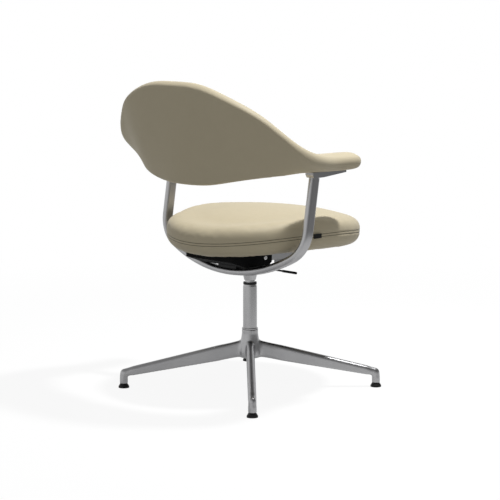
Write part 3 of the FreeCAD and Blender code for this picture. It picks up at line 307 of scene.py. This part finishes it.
@dataclass(frozen=True)
class SeatSeams:
    """The two seams round the seat, each at one level below the arch that the seat follows."""

    apex_y: float
    apex_z: float
    arch_radius: float
    drops: tuple[float, ...]
    shade_line_width: float = 0.0012

    def distance(self, spot: Vector, drop: float) -> float:
        """How far a point lies above or below one seam."""
        off = spot.y - self.apex_y
        return abs(spot.z + off * off / (2.0 * self.arch_radius) - self.apex_z + drop)

    def mask(self, shop: "NodeShop") -> Channel:
        """A mask that is 1 along the seams' grooves, where painted shade darkens the hide.

        Args:
            shop: The material's builder.

        Returns:
            The mask of the painted seam shade.
        """
        place = shop.place()
        along = shop.node("ShaderNodeSeparateXYZ", {}, {0: place}, "Y") - self.apex_y
        height = shop.node("ShaderNodeSeparateXYZ", {}, {0: place}, "Z")
        level = height + along * along / (2.0 * self.arch_radius) - self.apex_z
        lines: Any = 0.0
        for drop in self.drops:
            away = shop.node("ShaderNodeMath", {"operation": "ABSOLUTE"}, {0: level + drop})
            lines = lines + shop.band(away, 0.4 * self.shade_line_width, self.shade_line_width, 1.0, 0.0)
        return lines.at_most(1.0)


@dataclass(frozen=True)
class Upholstery:
    """Smooth matt hide over foam: a fine pebble grain, soft mottling, darker valleys and painted seam shade.
    """

    name: str = "smooth_hide"
    light: tuple[float, float, float] = (0.63, 0.555, 0.395)
    deep: tuple[float, float, float] = (0.56, 0.49, 0.34)
    grain_scale: float = 950.0
    grain_depth: float = 0.00010
    pore_scale: float = 2470.0
    drift_scale: float = 9.0
    crease_scale: float = 60.0
    crease_depth: float = 0.0004
    crease_strength: float = 0.12
    valley_start: float = 0.35
    valley_full: float = 0.75
    valley_roughness: float = 0.08
    roughness: float = 0.56
    roughness_spread: float = 0.10
    # Painted shade along the seam grooves: how strongly it darkens the hide, and its tone.
    seam_shade_strength: float = 0.85
    seam_shade_tone: tuple[float, float, float] = (0.10, 0.085, 0.055)
    seams: Optional[SeatSeams] = None

    def build(self) -> bpy.types.Material:
        """The material, with grain, creases, colour drift and painted shade along the seams."""
        material, shop = new_material(self.name)
        grain = shop.cells(self.grain_scale)
        pores = shop.noise(self.pore_scale, 1.0)
        drift = shop.noise(self.drift_scale, 3.0)
        fine_drift = shop.noise(self.crease_scale, 2.0)
        valley = shop.band(grain, self.valley_start, self.valley_full)
        tone = (drift * 0.6 + fine_drift * 0.25 + valley * 0.3).at_most(1.0)
        colour = shop.blend(tone, self.light, self.deep)
        if self.seams:
            # Painted shade: the hide is darkened along the seam grooves.
            colour = shop.blend(self.seams.mask(shop) * self.seam_shade_strength, colour, self.seam_shade_tone)
        rough = self.roughness + (fine_drift - 0.5) * self.roughness_spread + valley * self.valley_roughness
        creases = shop.bump(fine_drift, self.crease_depth, self.crease_strength)
        height = (1.0 - grain) * 0.8 + pores * 0.2
        inputs = {"Height": height, "Distance": self.grain_depth, "Strength": 0.5, "Normal": creases}
        normal = shop.node("ShaderNodeBump", {}, inputs, "Normal")
        finish_surface(shop, {
            "Base Color": colour, "Roughness": rough, "Normal": normal, "Specular IOR Level": 0.32,
            "Sheen Weight": 0.06, "Sheen Roughness": 0.5,
        })
        return material


@dataclass(frozen=True)
class SatinAluminium:
    """Satin aluminium: a fine blasted grain with faint polishing lines."""

    name: str = "satin_aluminium"
    colour: tuple[float, float, float] = (0.46, 0.46, 0.465)
    dull: tuple[float, float, float] = (0.39, 0.39, 0.40)
    roughness: float = 0.33
    grain_scale: float = 1400.0
    grain_depth: float = 0.00003
    lines: tuple[float, float, float] = (1.0, 1.0, 0.06)
    line_scale: float = 700.0
    drift_scale: float = 14.0
    drift_roughness: float = 0.10
    line_roughness: float = 0.08

    def build(self) -> bpy.types.Material:
        """The material, with grain, drift in its dullness and faint lines."""
        material, shop = new_material(self.name)
        place = shop.place()
        stretched = shop.node("ShaderNodeMapping", {}, {"Vector": place, "Scale": self.lines})
        lines = shop.noise(self.line_scale, 2.0, stretched)
        grain = shop.noise(self.grain_scale, 2.0)
        drift = shop.noise(self.drift_scale, 3.0)
        colour = shop.blend((drift * 0.7 + grain * 0.3).at_most(1.0), self.colour, self.dull)
        rough = self.roughness + (drift - 0.5) * self.drift_roughness + (lines - 0.5) * self.line_roughness
        normal = shop.bump(grain * 0.7 + lines * 0.3, self.grain_depth, 0.5)
        finish_surface(shop, {
            "Base Color": colour, "Roughness": rough, "Metallic": 1.0, "Normal": normal,
        })
        return material


@dataclass(frozen=True)
class Moulded:
    """Moulded plastic, rubber or lacquer: one deep colour with a fine spark-eroded texture."""

    name: str = "black_moulding"
    colour: tuple[float, float, float] = (0.007, 0.007, 0.0075)
    worn: tuple[float, float, float] = (0.011, 0.011, 0.0115)
    roughness: float = 0.5
    specular: float = 0.3
    grain_scale: float = 1600.0
    grain_depth: float = 0.00005
    drift_scale: float = 22.0
    coat: float = 0.0

    def build(self) -> bpy.types.Material:
        """The material, with a texture and a little drift."""
        material, shop = new_material(self.name)
        grain = shop.noise(self.grain_scale, 2.0)
        drift = shop.noise(self.drift_scale, 2.0)
        colour = shop.blend(drift, self.colour, self.worn)
        rough = self.roughness + (grain - 0.5) * 0.14 + (drift - 0.5) * 0.06
        normal = shop.bump(grain, self.grain_depth, 0.6)
        finish_surface(shop, {
            "Base Color": colour, "Roughness": rough, "Normal": normal, "Coat Weight": self.coat,
            "Specular IOR Level": self.specular,
        })
        return material


@dataclass(frozen=True)
class HalfLacquered:
    """A casting of which one part is bare and satin, and the part past a border lacquered black."""

    name: str = "cast_housing"
    axis: str = "Z"
    bare: tuple[float, float, float] = (0.46, 0.46, 0.465)
    lacquer: tuple[float, float, float] = (0.008, 0.008, 0.0085)
    border: float = 0.3185
    border_width: float = 0.0008
    bare_roughness: float = 0.33
    lacquer_roughness: float = 0.48
    grain_scale: float = 1400.0
    grain_depth: float = 0.00004

    def build(self) -> bpy.types.Material:
        """The material, which turns from bare metal to lacquer at the border."""
        material, shop = new_material(self.name)
        along = shop.node("ShaderNodeSeparateXYZ", {}, {0: shop.place()}, self.axis)
        coated = shop.band(along, self.border, self.border + self.border_width)
        grain = shop.noise(self.grain_scale, 2.0)
        colour = shop.blend(coated, self.bare, self.lacquer)
        rise = self.lacquer_roughness - self.bare_roughness
        rough = self.bare_roughness + coated * rise + (grain - 0.5) * 0.08
        finish_surface(shop, {
            "Base Color": colour, "Roughness": rough, "Metallic": 1.0 - coated,
            "Normal": shop.bump(grain, self.grain_depth, 0.5), "Specular IOR Level": 0.25,
        })
        return material


@dataclass(frozen=True)
class PlyBoard:
    """Raw birch plywood, with its plies as layers."""

    name: str = "birch_ply"
    pale: tuple[float, float, float] = (0.55, 0.40, 0.24)
    dark: tuple[float, float, float] = (0.36, 0.24, 0.13)
    stretch: tuple[float, float, float] = (18.0, 1.6, 18.0)
    grain_scale: float = 12.0
    grain_depth: float = 0.0002

    def build(self) -> bpy.types.Material:
        """The material, with grain along the board."""
        material, shop = new_material(self.name)
        stretched = shop.node("ShaderNodeMapping", {}, {"Vector": shop.place(), "Scale": self.stretch})
        grain = shop.noise(self.grain_scale, 5.0, stretched)
        colour = shop.blend(grain, self.pale, self.dark)
        normal = shop.bump(grain, self.grain_depth, 0.4)
        finish_surface(shop, {"Base Color": colour, "Roughness": 0.6 + grain * 0.2, "Normal": normal})
        return material


# Bench tools


def only(piece: bpy.types.Object) -> None:
    """Select one object alone and make it active."""
    bpy.ops.object.select_all(action="DESELECT")
    piece.select_set(True)
    bpy.context.view_layer.objects.active = piece


def apply_modifier(piece: bpy.types.Object, kind: str, **settings: Any) -> None:
    """Add a modifier to a piece and apply it.

    Args:
        piece: The object.
        kind: The modifier's type.
        **settings: Its properties.
    """
    modifier = piece.modifiers.new(kind.lower(), kind)
    for name, value in settings.items():
        setattr(modifier, name, value)
    only(piece)
    bpy.ops.object.modifier_apply(modifier=modifier.name)


def smooth_shade(piece: bpy.types.Object, angle: float = 32.0) -> None:
    """Shade a piece smooth, with edges sharper than an angle in degrees kept crisp."""
    only(piece)
    bpy.ops.object.shade_smooth_by_angle(angle=math.radians(angle))


def copy_of_node(name: str, label: str) -> bpy.types.Object:
    """A welded copy of a CAD node's mesh as a new object.

    Args:
        name: The CAD node.
        label: The new object's name.

    Returns:
        The new object, at the origin.
    """
    piece = bpy.data.objects.new(label, NODES[name].data.copy())
    piece.data.name = label
    bpy.context.scene.collection.objects.link(piece)
    only(piece)
    bpy.ops.object.mode_set(mode="EDIT")
    bpy.ops.mesh.select_all(action="SELECT")
    bpy.ops.mesh.customdata_custom_splitnormals_clear()
    bpy.ops.mesh.remove_doubles(threshold=0.01 * MM)
    bpy.ops.mesh.normals_make_consistent(inside=False)
    bpy.ops.object.mode_set(mode="OBJECT")
    return piece


def dress(piece: bpy.types.Object, material: bpy.types.Material) -> None:
    """Give a piece one material all over."""
    piece.data.materials.clear()
    piece.data.materials.append(material)


def triangles(piece: bpy.types.Object) -> int:
    """How many triangles a piece's own mesh has."""
    return sum(len(face.vertices) - 2 for face in piece.data.polygons)


# Upholstered pieces


@dataclass
class PaddedForm:
    """One padded piece: its CAD solids turned to a soft swollen form.

    Attributes:
        label: The new piece's name.
        nodes: The CAD nodes that it stands for.
        slot: The record's slot of its finish; not used.
        voxel: The remesh size in metres.
        smooth: Rounds of smoothing on the remeshed form.
        shrink: How far the form is drawn in before it swells, in metres.
        pressure: The cloth's inner pressure, or 0 for a tight pad that is only filled out.
        cap: How far a point may move while it swells, in metres.
        relax: Rounds of smoothing after it.
        levels: Subdivision levels at the end.
        fill: How tight the pad is, from 0 to 1; not used.
        fillers: Hard pieces inside it, whose room the form closes.
    """

    label: str
    nodes: tuple[str, ...]
    slot: str
    voxel: float
    smooth: int
    shrink: float
    pressure: float
    cap: float
    relax: int
    levels: int
    fill: float
    fillers: tuple[str, ...] = ()

    def form(self) -> bpy.types.Object:
        """The swollen form, before its details and its finish."""
        piece = copy_of_node(self.nodes[0], self.label)
        for name in self.nodes[1:] + self.fillers:
            more = copy_of_node(name, name + "_copy")
            only(piece)
            more.select_set(True)
            bpy.ops.object.join()
        apply_modifier(piece, "REMESH", mode="VOXEL", voxel_size=self.voxel, use_smooth_shade=True)
        self.fatten(piece, -self.shrink)
        apply_modifier(piece, "SMOOTH", factor=0.5, iterations=self.smooth)
        if self.pressure:
            self._swell(piece)
        elif self.pressure:
            self.fatten(piece, self.cap * QUICK_SHARE)
        if self.relax:
            apply_modifier(piece, "SMOOTH", factor=0.5, iterations=self.relax)
        if self.levels:
            apply_modifier(piece, "SUBSURF", levels=self.levels, render_levels=self.levels)
        return piece

    def finish(self, piece: bpy.types.Object, material: bpy.types.Material) -> None:
        """Args:
            piece: The form.
            material: Its finish.
        """
        dress(piece, material)
        only(piece)
        bpy.ops.object.shade_smooth()
        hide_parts(*self.nodes)
        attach(piece, Rider.UPPER.value)
        LOG.info("%s: %d triangles", self.label, triangles(piece))

    @staticmethod
    def fatten(piece: bpy.types.Object, distance: float) -> None:
        """Move every point of the surface outwards by a distance in metres."""
        only(piece)
        bpy.ops.object.mode_set(mode="EDIT")
        bpy.ops.mesh.select_all(action="SELECT")
        bpy.ops.transform.shrink_fatten(value=distance)
        bpy.ops.object.mode_set(mode="OBJECT")

    def _swell(self, piece: bpy.types.Object) -> None:
        """Swell the piece as cloth under pressure, with each point's travel capped."""
        scene = bpy.context.scene
        rest = [vertex.co.copy() for vertex in piece.data.vertices]
        modifier = piece.modifiers.new("swell", "CLOTH")
        settings = modifier.settings
        settings.use_pressure = True
        settings.uniform_pressure_force = self.pressure
        settings.effector_weights.gravity = 0.0
        settings.quality = 4
        settings.tension_stiffness = 20.0
        settings.compression_stiffness = 20.0
        settings.bending_stiffness = 2.0
        modifier.collision_settings.use_collision = False
        for number in range(1, SWELL_FRAMES + 1):
            scene.frame_set(number)
        only(piece)
        bpy.ops.object.modifier_apply(modifier=modifier.name)
        scene.frame_set(1)
        for vertex, start in zip(piece.data.vertices, rest):
            travel = vertex.co - start
            if travel.length > self.cap:
                vertex.co = start + travel * (self.cap / travel.length)


def smooth_step(value: float, low: float, high: float) -> float:
    """A smooth rise from 0 at low to 1 at high."""
    share = min(max((value - low) / (high - low), 0.0), 1.0)
    return share * share * (3.0 - 2.0 * share)


def node_tree(name: str) -> BVHTree:
    """A search tree over a CAD node's surface."""
    mesh = NODES[name].data
    spots = [vertex.co for vertex in mesh.vertices]
    return BVHTree.FromPolygons(spots, [face.vertices for face in mesh.polygons])


@dataclass
class UpholsteredShell:
    """The wraparound back and arms: the outer shell and the inner cushion under one tight cover."""

    pad: PaddedForm = field(default_factory=lambda: PaddedForm(
        "wraparound_back_pad", ("back_shell", "back_cushion"), "upholstery_outer",
        3.4 * MM, 6, 0.0, 0.0, 0.0, 0, 0, 0.9))
    plump: float = 2.2 * MM
    bracket_clearance: float = 0.4 * MM
    bracket_margin: float = 1.5 * MM

    def build(self, material: bpy.types.Material) -> None:
        """Make the pad, fill it out and seat it on the arm brackets."""
        piece = self.pad.form()
        self.pad.fatten(piece, self.plump)
        self._seat_on_brackets(piece)
        self.pad.finish(piece, material)

    def _seat_on_brackets(self, piece: bpy.types.Object) -> None:
        """Flatten the pad's underside where the arm brackets carry it."""
        for node in ("arm_bracket_right", "arm_bracket_left"):
            low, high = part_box(node)
            level = high.z + self.bracket_clearance
            margin = self.bracket_margin
            for vertex in piece.data.vertices:
                spot = vertex.co
                inside_x = low.x - margin < spot.x < high.x + margin
                inside_y = low.y - margin < spot.y < high.y + margin
                if inside_x and inside_y and spot.z < level:
                    spot.z = level


@dataclass
class UpholsteredSeat:
    """The seat: a deep pan, a narrow border band and a crowned cushion, sewn at two seams."""

    pad: PaddedForm = field(default_factory=lambda: PaddedForm(
        "upholstered_seat", ("seat_cushion", "seat_band", "seat_pan"), "upholstery_inner",
        4.4 * MM, 8, 0.0, 4.0, 3.0 * MM, 2, 1, 0.85, ("seat_board", "seat_screws")))
    rear_lift: float = -6.0 * MM
    front_lift: float = 18.0 * MM
    lift_run: float = 0.42
    crown_start: float = 0.25
    crown_full: float = 0.9
    dome_start: float = 0.2
    dome_full: float = 0.6
    dome_rounds: int = 40
    arch_radius: float = 1475.0 * MM
    apex_forward: float = 28.0 * MM
    band_height: float = 6.6 * MM
    seam_depth: float = 1.3 * MM
    seam_half_width: float = 1.5 * MM
    panel_clearance: float = 0.6 * MM
    panel_search: float = 20.0 * MM

    def seams(self, column: Vector) -> SeatSeams:
        """The two seams, above and below the border band.

        Args:
            column: The foot of the column's axis on the floor.

        Returns:
            The seams.
        """
        apex_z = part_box("seat_band")[1].z
        return SeatSeams(column.y - self.apex_forward, apex_z, self.arch_radius, (0.0, self.band_height))

    def build(self, material: bpy.types.Material, seams: SeatSeams) -> None:
        """Make the seat's pad, crown it and sink its seams.

        Args:
            material: Its finish.
            seams: Where its seams run.
        """
        piece = self.pad.form()
        self._dome(piece)
        self._crown(piece)
        self._hold_underside(piece)
        self._sink_seams(piece, seams)
        self.pad.finish(piece, material)

    def _dome(self, piece: bpy.types.Object) -> None:
        """Round the cushion's shoulder off towards its seam."""
        low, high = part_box("seat_cushion")
        start = low.z + self.dome_start * (high.z - low.z)
        full = low.z + self.dome_full * (high.z - low.z)
        group = piece.vertex_groups.new(name="dome")
        for vertex in piece.data.vertices:
            weight = smooth_step(vertex.co.z, start, full)
            if weight > 0.0:
                group.add([vertex.index], weight, "REPLACE")
        apply_modifier(piece, "SMOOTH", factor=0.5, iterations=self.dome_rounds, vertex_group=group.name)
        piece.vertex_groups.clear()

    def _crown(self, piece: bpy.types.Object) -> None:
        """Crown the cushion: higher towards the front, falling away to its seam all round."""
        low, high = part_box("seat_cushion")
        middle = (low + high) / 2
        reach = (high - low) / 2
        for vertex in piece.data.vertices:
            across = (vertex.co.x - middle.x) / reach.x
            along = (vertex.co.y - middle.y) / reach.y
            inside = 1.0 - math.hypot(across, along)
            height = smooth_step((vertex.co.z - low.z) / (high.z - low.z), self.crown_start, self.crown_full)
            lift = self.rear_lift - self.front_lift * along
            vertex.co.z += lift * smooth_step(inside, 0.0, self.lift_run) * height

    def _hold_underside(self, piece: bpy.types.Object) -> None:
        """Keep the pan's underside clear of the panel that closes it."""
        panel = node_tree("seat_under_panel")
        above = Vector((0.0, 0.0, self.panel_search))
        down = Vector((0.0, 0.0, -1.0))
        for vertex in piece.data.vertices:
            spot = panel.ray_cast(vertex.co + above, down, 1.5 * self.panel_search)[0]
            if spot is not None and vertex.co.z < spot.z + self.panel_clearance:
                vertex.co.z = spot.z + self.panel_clearance

    def _sink_seams(self, piece: bpy.types.Object, seams: SeatSeams) -> None:
        """Draw the surface in along both seams."""
        for vertex in piece.data.vertices:
            depth = 0.0
            for drop in seams.drops:
                share = seams.distance(vertex.co, drop) / self.seam_half_width
                depth += self.seam_depth * math.exp(-share * share)
            if depth > 0.01 * MM:
                vertex.co -= vertex.normal * depth


# Metal and moulded pieces


@dataclass
class CastBase:
    """The four-leg base as one casting, its legs blended softly into the hub and the feet."""

    voxel: float = 1.8 * MM
    relax: int = 3
    blend_rounds: int = 90
    hub_start: float = 92 * MM
    hub_full: float = 52 * MM
    hub_floor: float = 96 * MM
    bore_start: float = 25 * MM
    bore_full: float = 29 * MM
    foot_start: float = 318 * MM
    foot_full: float = 336 * MM
    foot_floor: float = 24 * MM
    foot_rise: float = 12 * MM

    def build(self, material: bpy.types.Material, column: Vector) -> bpy.types.Object:
        """Remesh the casting fine and smooth its inner corners.

        Args:
            material: Its finish.
            column: The foot of the column's axis.

        Returns:
            The finished base.
        """
        piece = copy_of_node("base_casting", "star_base")
        apply_modifier(piece, "REMESH", mode="VOXEL", voxel_size=self.voxel, use_smooth_shade=True)
        apply_modifier(piece, "SMOOTH", factor=0.5, iterations=self.relax)
        group = piece.vertex_groups.new(name="blends")
        for vertex in piece.data.vertices:
            weight = self._blend_weight(vertex.co - column)
            if weight > 0.0:
                group.add([vertex.index], weight, "REPLACE")
        apply_modifier(piece, "SMOOTH", factor=0.5, iterations=self.blend_rounds, vertex_group=group.name)
        piece.vertex_groups.clear()
        dress(piece, material)
        only(piece)
        bpy.ops.object.shade_smooth()
        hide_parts("base_casting")
        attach(piece, Rider.BASE.value)
        LOG.info("star_base: %d triangles", triangles(piece))
        return piece

    def _blend_weight(self, spot: Vector) -> float:
        """How strongly a point is smoothed: at the hub's skirt and at the feet's elbows.

        Args:
            spot: The point, measured from the column's foot.

        Returns:
            The weight, from 0 to 1.
        """
        out = math.hypot(spot.x, spot.y)
        hub = smooth_step(self.hub_start - out, 0.0, self.hub_start - self.hub_full)
        hub *= smooth_step(out, self.bore_start, self.bore_full) * smooth_step(spot.z, 0.0, self.hub_floor)
        foot = smooth_step(out, self.foot_start, self.foot_full)
        foot *= smooth_step(spot.z, self.foot_floor, self.foot_floor + self.foot_rise)
        return max(hub, foot)


@dataclass
class FrameSkirts:
    """The tilt frame's two cast cheeks, which hang below its front wings."""

    thickness: float = 4.6 * MM
    front_setback: float = 4.0 * MM
    length: float = 72.0 * MM
    bottom: float = 348.0 * MM
    top: float = 362.0 * MM
    side_gap: float = 0.2 * MM
    bevel: float = 1.2 * MM

    def build(self, material: bpy.types.Material) -> None:
        """Make both cheeks.

        Args:
            material: Their finish.
        """
        low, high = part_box("tilt_frame")
        start = low.y + self.front_setback
        for label, side in (("frame_cheek_right", -1.0), ("frame_cheek_left", 1.0)):
            across = side * (high.x - self.thickness / 2 - self.side_gap)
            centre = (across, start + self.length / 2, (self.bottom + self.top) / 2)
            bpy.ops.object.select_all(action="DESELECT")
            bpy.ops.mesh.primitive_cube_add(size=1.0, location=centre)
            piece = bpy.context.object
            piece.name = label
            piece.data.name = label
            piece.scale = (self.thickness, self.length, self.top - self.bottom)
            bpy.ops.object.transform_apply(location=True, rotation=False, scale=True)
            apply_modifier(piece, "BEVEL", width=self.bevel, segments=3)
            dress(piece, material)
            smooth_shade(piece)
            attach(piece, Rider.UPPER.value)
        LOG.info("frame cheeks: 2 pieces")


@dataclass
class Hardware:
    """The CAD nodes whose shape is right as it is, each with its finish."""

    finishes: dict[str, tuple[str, ...]] = field(default_factory=lambda: {
        "satin_aluminium": ("yoke", "arm_bracket_right", "arm_bracket_left"),
        "cast_frame": ("tilt_frame",),
        "cast_housing": ("mechanism_housing",),
        "satin_tube": ("column_tube", "column_collar_ring", "gas_cylinder"),
        "bright_steel": (
            "glide_studs", "thrust_washer_lower", "bearing_balls", "thrust_washer_upper", "piston_rod",
            "piston", "valve_button", "lever_pin", "tilt_axle", "axle_washers", "cover_screws",
            "yoke_screws", "bracket_screws", "seat_screws", "retaining_clip",
        ),
        "black_moulding": ("floor_glides", "guide_bush", "lever_grip", "seam_tab"),
        "deep_black": ("mechanism_cover", "seat_under_panel"),
        "black_lacquer": ("height_lever",),
        "black_rubber": ("bump_stop", "torsion_sleeves", "tilt_stop"),
        "birch_ply": ("seat_board",),
    })

    def build(self, materials: dict[str, bpy.types.Material]) -> None:
        """Give each node its material.

        Args:
            materials: The materials by name.
        """
        for finish, names in self.finishes.items():
            for name in names:
                dress(NODES[name], materials[finish])
        LOG.info("hardware: %d nodes dressed", sum(len(names) for names in self.finishes.values()))


# Studio


@dataclass
class Studio:
    """Floor, white surroundings, lamps and the camera at the photograph's angle."""

    camera_height: float = 0.3789
    camera_elevation: float = 8.5
    camera_azimuth: float = 225.0
    camera_distance: float = 4.828
    focal_pixels: float = 1783.0
    image_pixels: float = 500.0
    sensor: float = 36.0
    key_offset: tuple[float, float, float] = (-0.58, -0.56, 2.40)
    key_size: float = 0.22
    key_power: float = 60.0
    floor_albedo: float = 0.42
    floor_glow: float = 0.90
    floor_shade: float = 0.12
    mirror_glow: float = 0.40
    floor_radius: float = 6.0
    fade_start: float = 0.9
    fade_end: float = 2.4
    soft_strength: float = 0.34

    def build(self, column: Vector) -> None:
        """Set the whole studio round the chair.

        Args:
            column: The foot of the column's axis on the floor.
        """
        self._camera(column)
        self._floor(column)
        self._world()
        self._lamps(column)

    def _camera(self, column: Vector) -> None:
        """The camera, aimed at the column's axis."""
        target = column + Vector((0.0, 0.0, self.camera_height))
        azimuth = math.radians(self.camera_azimuth)
        rise = math.radians(self.camera_elevation)
        level = math.cos(rise)
        away = Vector((math.sin(azimuth) * level, -math.cos(azimuth) * level, math.sin(rise)))
        bpy.ops.object.camera_add(location=target + away * self.camera_distance)
        camera = bpy.context.object
        camera.name = "photo_camera"
        camera.rotation_euler = (-away).to_track_quat("-Z", "Y").to_euler()
        camera.data.sensor_width = self.sensor
        camera.data.lens = self.focal_pixels / self.image_pixels * self.sensor
        bpy.context.scene.camera = camera

    def _floor(self, column: Vector) -> None:
        """A round pale floor that keeps the shadow near the chair and fades to white further out."""
        bpy.ops.mesh.primitive_circle_add(
            vertices=96, radius=self.floor_radius, fill_type="NGON", location=column)
        floor = bpy.context.object
        floor.name = "studio_floor"
        bpy.ops.object.transform_apply(location=True, rotation=False, scale=False)
        material, shop = new_material("pale_floor")
        ray = shop.raw("ShaderNodeLightPath", {}, {})
        through = Channel(shop, ray.outputs["Is Transmission Ray"])
        seen = (Channel(shop, ray.outputs["Is Camera Ray"]) + through).at_most(1.0)
        mirrored = Channel(shop, ray.outputs["Is Glossy Ray"])
        reach = shop.node("ShaderNodeVectorMath", {"operation": "LENGTH"}, {0: shop.place()}, "Value")
        far = shop.band(reach, self.fade_start, self.fade_end)
        white = shop.node("ShaderNodeEmission", {}, {"Color": grey(1.0)}, "Emission")
        lit = shop.node("ShaderNodeBsdfDiffuse", {}, {"Color": grey(self.floor_albedo)}, "BSDF")
        # Painted reflection: for glossy rays the far floor glows brighter on the lit side and dimmer on the
        # shaded side, and the near floor glows too.
        heading = shop.node("ShaderNodeVectorMath", {"operation": "NORMALIZE"}, {0: shop.place()}, "Vector")
        level = self._side_level(shop, heading, 0.26, 0.95, 1.0)
        sheen = shop.node("ShaderNodeEmission", {}, {"Color": grey(1.0), "Strength": level}, "Emission")
        surfaces = []
        looks = ((self.floor_shade, self.floor_glow, white), (self.floor_albedo, self.mirror_glow, sheen))
        for albedo, glow, distant in looks:
            matt = shop.node("ShaderNodeBsdfDiffuse", {}, {"Color": grey(albedo)}, "BSDF")
            shine = shop.node("ShaderNodeEmission", {}, {"Color": grey(glow)}, "Emission")
            near = shop.node("ShaderNodeAddShader", {}, {0: matt, 1: shine})
            surfaces.append(shop.node("ShaderNodeMixShader", {}, {"Fac": far, 1: near, 2: distant}))
        result = shop.node("ShaderNodeMixShader", {}, {"Fac": seen, 1: lit, 2: surfaces[0]})
        result = shop.node("ShaderNodeMixShader", {}, {"Fac": mirrored, 1: result, 2: surfaces[1]})
        shop.raw("ShaderNodeOutputMaterial", {}, {"Surface": result})
        dress(floor, material)

    def _side_level(self, shop: NodeShop, direction: Channel, right: float, left: float,
                    behind: float) -> Channel:
        """How bright the studio is in a direction: a lit side, a shaded side and a bright backdrop.

        Args:
            shop: The builder of the nodes.
            direction: The direction, of length 1.
            right: The level on the shaded side.
            left: The level on the lit side.
            behind: The level of the backdrop.

        Returns:
            The level.
        """
        azimuth = math.radians(self.camera_azimuth)
        lit_side = (-math.cos(azimuth), -math.sin(azimuth), 0.0)
        backdrop = (-math.sin(azimuth), math.cos(azimuth), 0.0)
        dots = [
            shop.node("ShaderNodeVectorMath", {"operation": "DOT_PRODUCT"}, {0: direction, 1: way}, "Value")
            for way in (lit_side, backdrop)
        ]
        side = shop.band(dots[0], -0.55, 0.65, right, left)
        bright = shop.band(dots[1], 0.25, 0.9)
        return side * (1.0 - bright) + bright * behind

    def _world(self) -> None:
        """Soft light from all round, and white wherever the camera or a reflection looks past the chair."""
        world = bpy.data.worlds.new("studio")
        bpy.context.scene.world = world
        world.use_nodes = True
        shop = NodeShop(world.node_tree)
        ray = shop.raw("ShaderNodeLightPath", {}, {})
        through = Channel(shop, ray.outputs["Is Transmission Ray"])
        camera_ray = Channel(shop, ray.outputs["Is Camera Ray"]) + through
        glossy_ray = Channel(shop, ray.outputs["Is Glossy Ray"])
        direction = shop.node("ShaderNodeTexCoord", {}, {}, "Generated")
        height = shop.node("ShaderNodeSeparateXYZ", {}, {0: direction}, "Z")
        sky = shop.ramp(height * 0.5 + 0.5, (
            (0.0, (0.30, 0.30, 0.30)),
            (0.46, (0.62, 0.62, 0.62)),
            (0.60, (0.70, 0.70, 0.70)),
            (0.80, (0.34, 0.34, 0.34)),
            (1.0, (0.30, 0.30, 0.30)),
        ))
        level = self._side_level(shop, direction, 0.34, 1.35, 1.5)
        daylight = {"Color": (0.98, 0.99, 1.0, 1.0), "Strength": self.soft_strength}
        soft = shop.node("ShaderNodeBackground", {}, daylight, "Background")
        mirrored = shop.node("ShaderNodeBackground", {}, {"Color": sky, "Strength": level}, "Background")
        white = shop.node("ShaderNodeBackground", {}, {"Color": grey(1.0), "Strength": 1.0}, "Background")
        lit = shop.node("ShaderNodeMixShader", {}, {"Fac": glossy_ray, 1: soft, 2: mirrored})
        result = shop.node("ShaderNodeMixShader", {}, {"Fac": camera_ray.at_most(1.0), 1: lit, 2: white})
        shop.raw("ShaderNodeOutputWorld", {}, {"Surface": result})

    def _lamps(self, column: Vector) -> None:
        """The key lamp high in front of the chair's right arm."""
        seat = column + Vector((0.0, 0.0, 0.5))
        self._area("key_lamp", seat + Vector(self.key_offset), seat, self.key_size, self.key_power)

    @staticmethod
    def _area(name: str, spot: Vector, target: Vector, size: float, power: float) -> None:
        """A square area lamp aimed at a point.

        Args:
            name: Its name.
            spot: Where it hangs.
            target: What it is aimed at.
            size: Its side in metres.
            power: Its power in watts.
        """
        bpy.ops.object.light_add(type="AREA", location=spot)
        lamp = bpy.context.object
        lamp.name = name
        lamp.rotation_euler = (target - spot).to_track_quat("-Z", "Y").to_euler()
        lamp.data.size = size
        lamp.data.energy = power


def main() -> None:
    """Build the studio, the finishes and the chair, piece by piece."""
    low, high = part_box("column_tube")
    column = Vector(((low.x + high.x) / 2, (low.y + high.y) / 2, 0.0))
    Studio().build(column)
    seat = UpholsteredSeat()
    seams = seat.seams(column)
    finishes = (
        Upholstery(), Upholstery("seam_shaded_hide", seams=seams), SatinAluminium(), Moulded(), PlyBoard(),
        SatinAluminium("satin_tube", (0.47, 0.47, 0.475), (0.41, 0.41, 0.415), 0.27), HalfLacquered(),
        HalfLacquered("cast_frame", "Y", border=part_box("mechanism_cover")[0].y),
        SatinAluminium("bright_steel", (0.72, 0.72, 0.72), (0.62, 0.62, 0.62), 0.22),
        Moulded("black_lacquer", roughness=0.34, coat=0.3),
        Moulded("deep_black", roughness=0.75, specular=0.06),
        Moulded("black_rubber", (0.020, 0.020, 0.020), (0.032, 0.032, 0.032), 0.7),
    )
    materials = {finish.name: finish.build() for finish in finishes}
    Hardware().build(materials)
    CastBase().build(materials["satin_aluminium"], column)
    UpholsteredShell().build(materials["smooth_hide"])
    seat.build(materials["seam_shaded_hide"], seams)
    FrameSkirts().build(materials["satin_aluminium"])
    bpy.context.scene.view_settings.view_transform = "Standard"


if __name__ == "__main__":
    main()
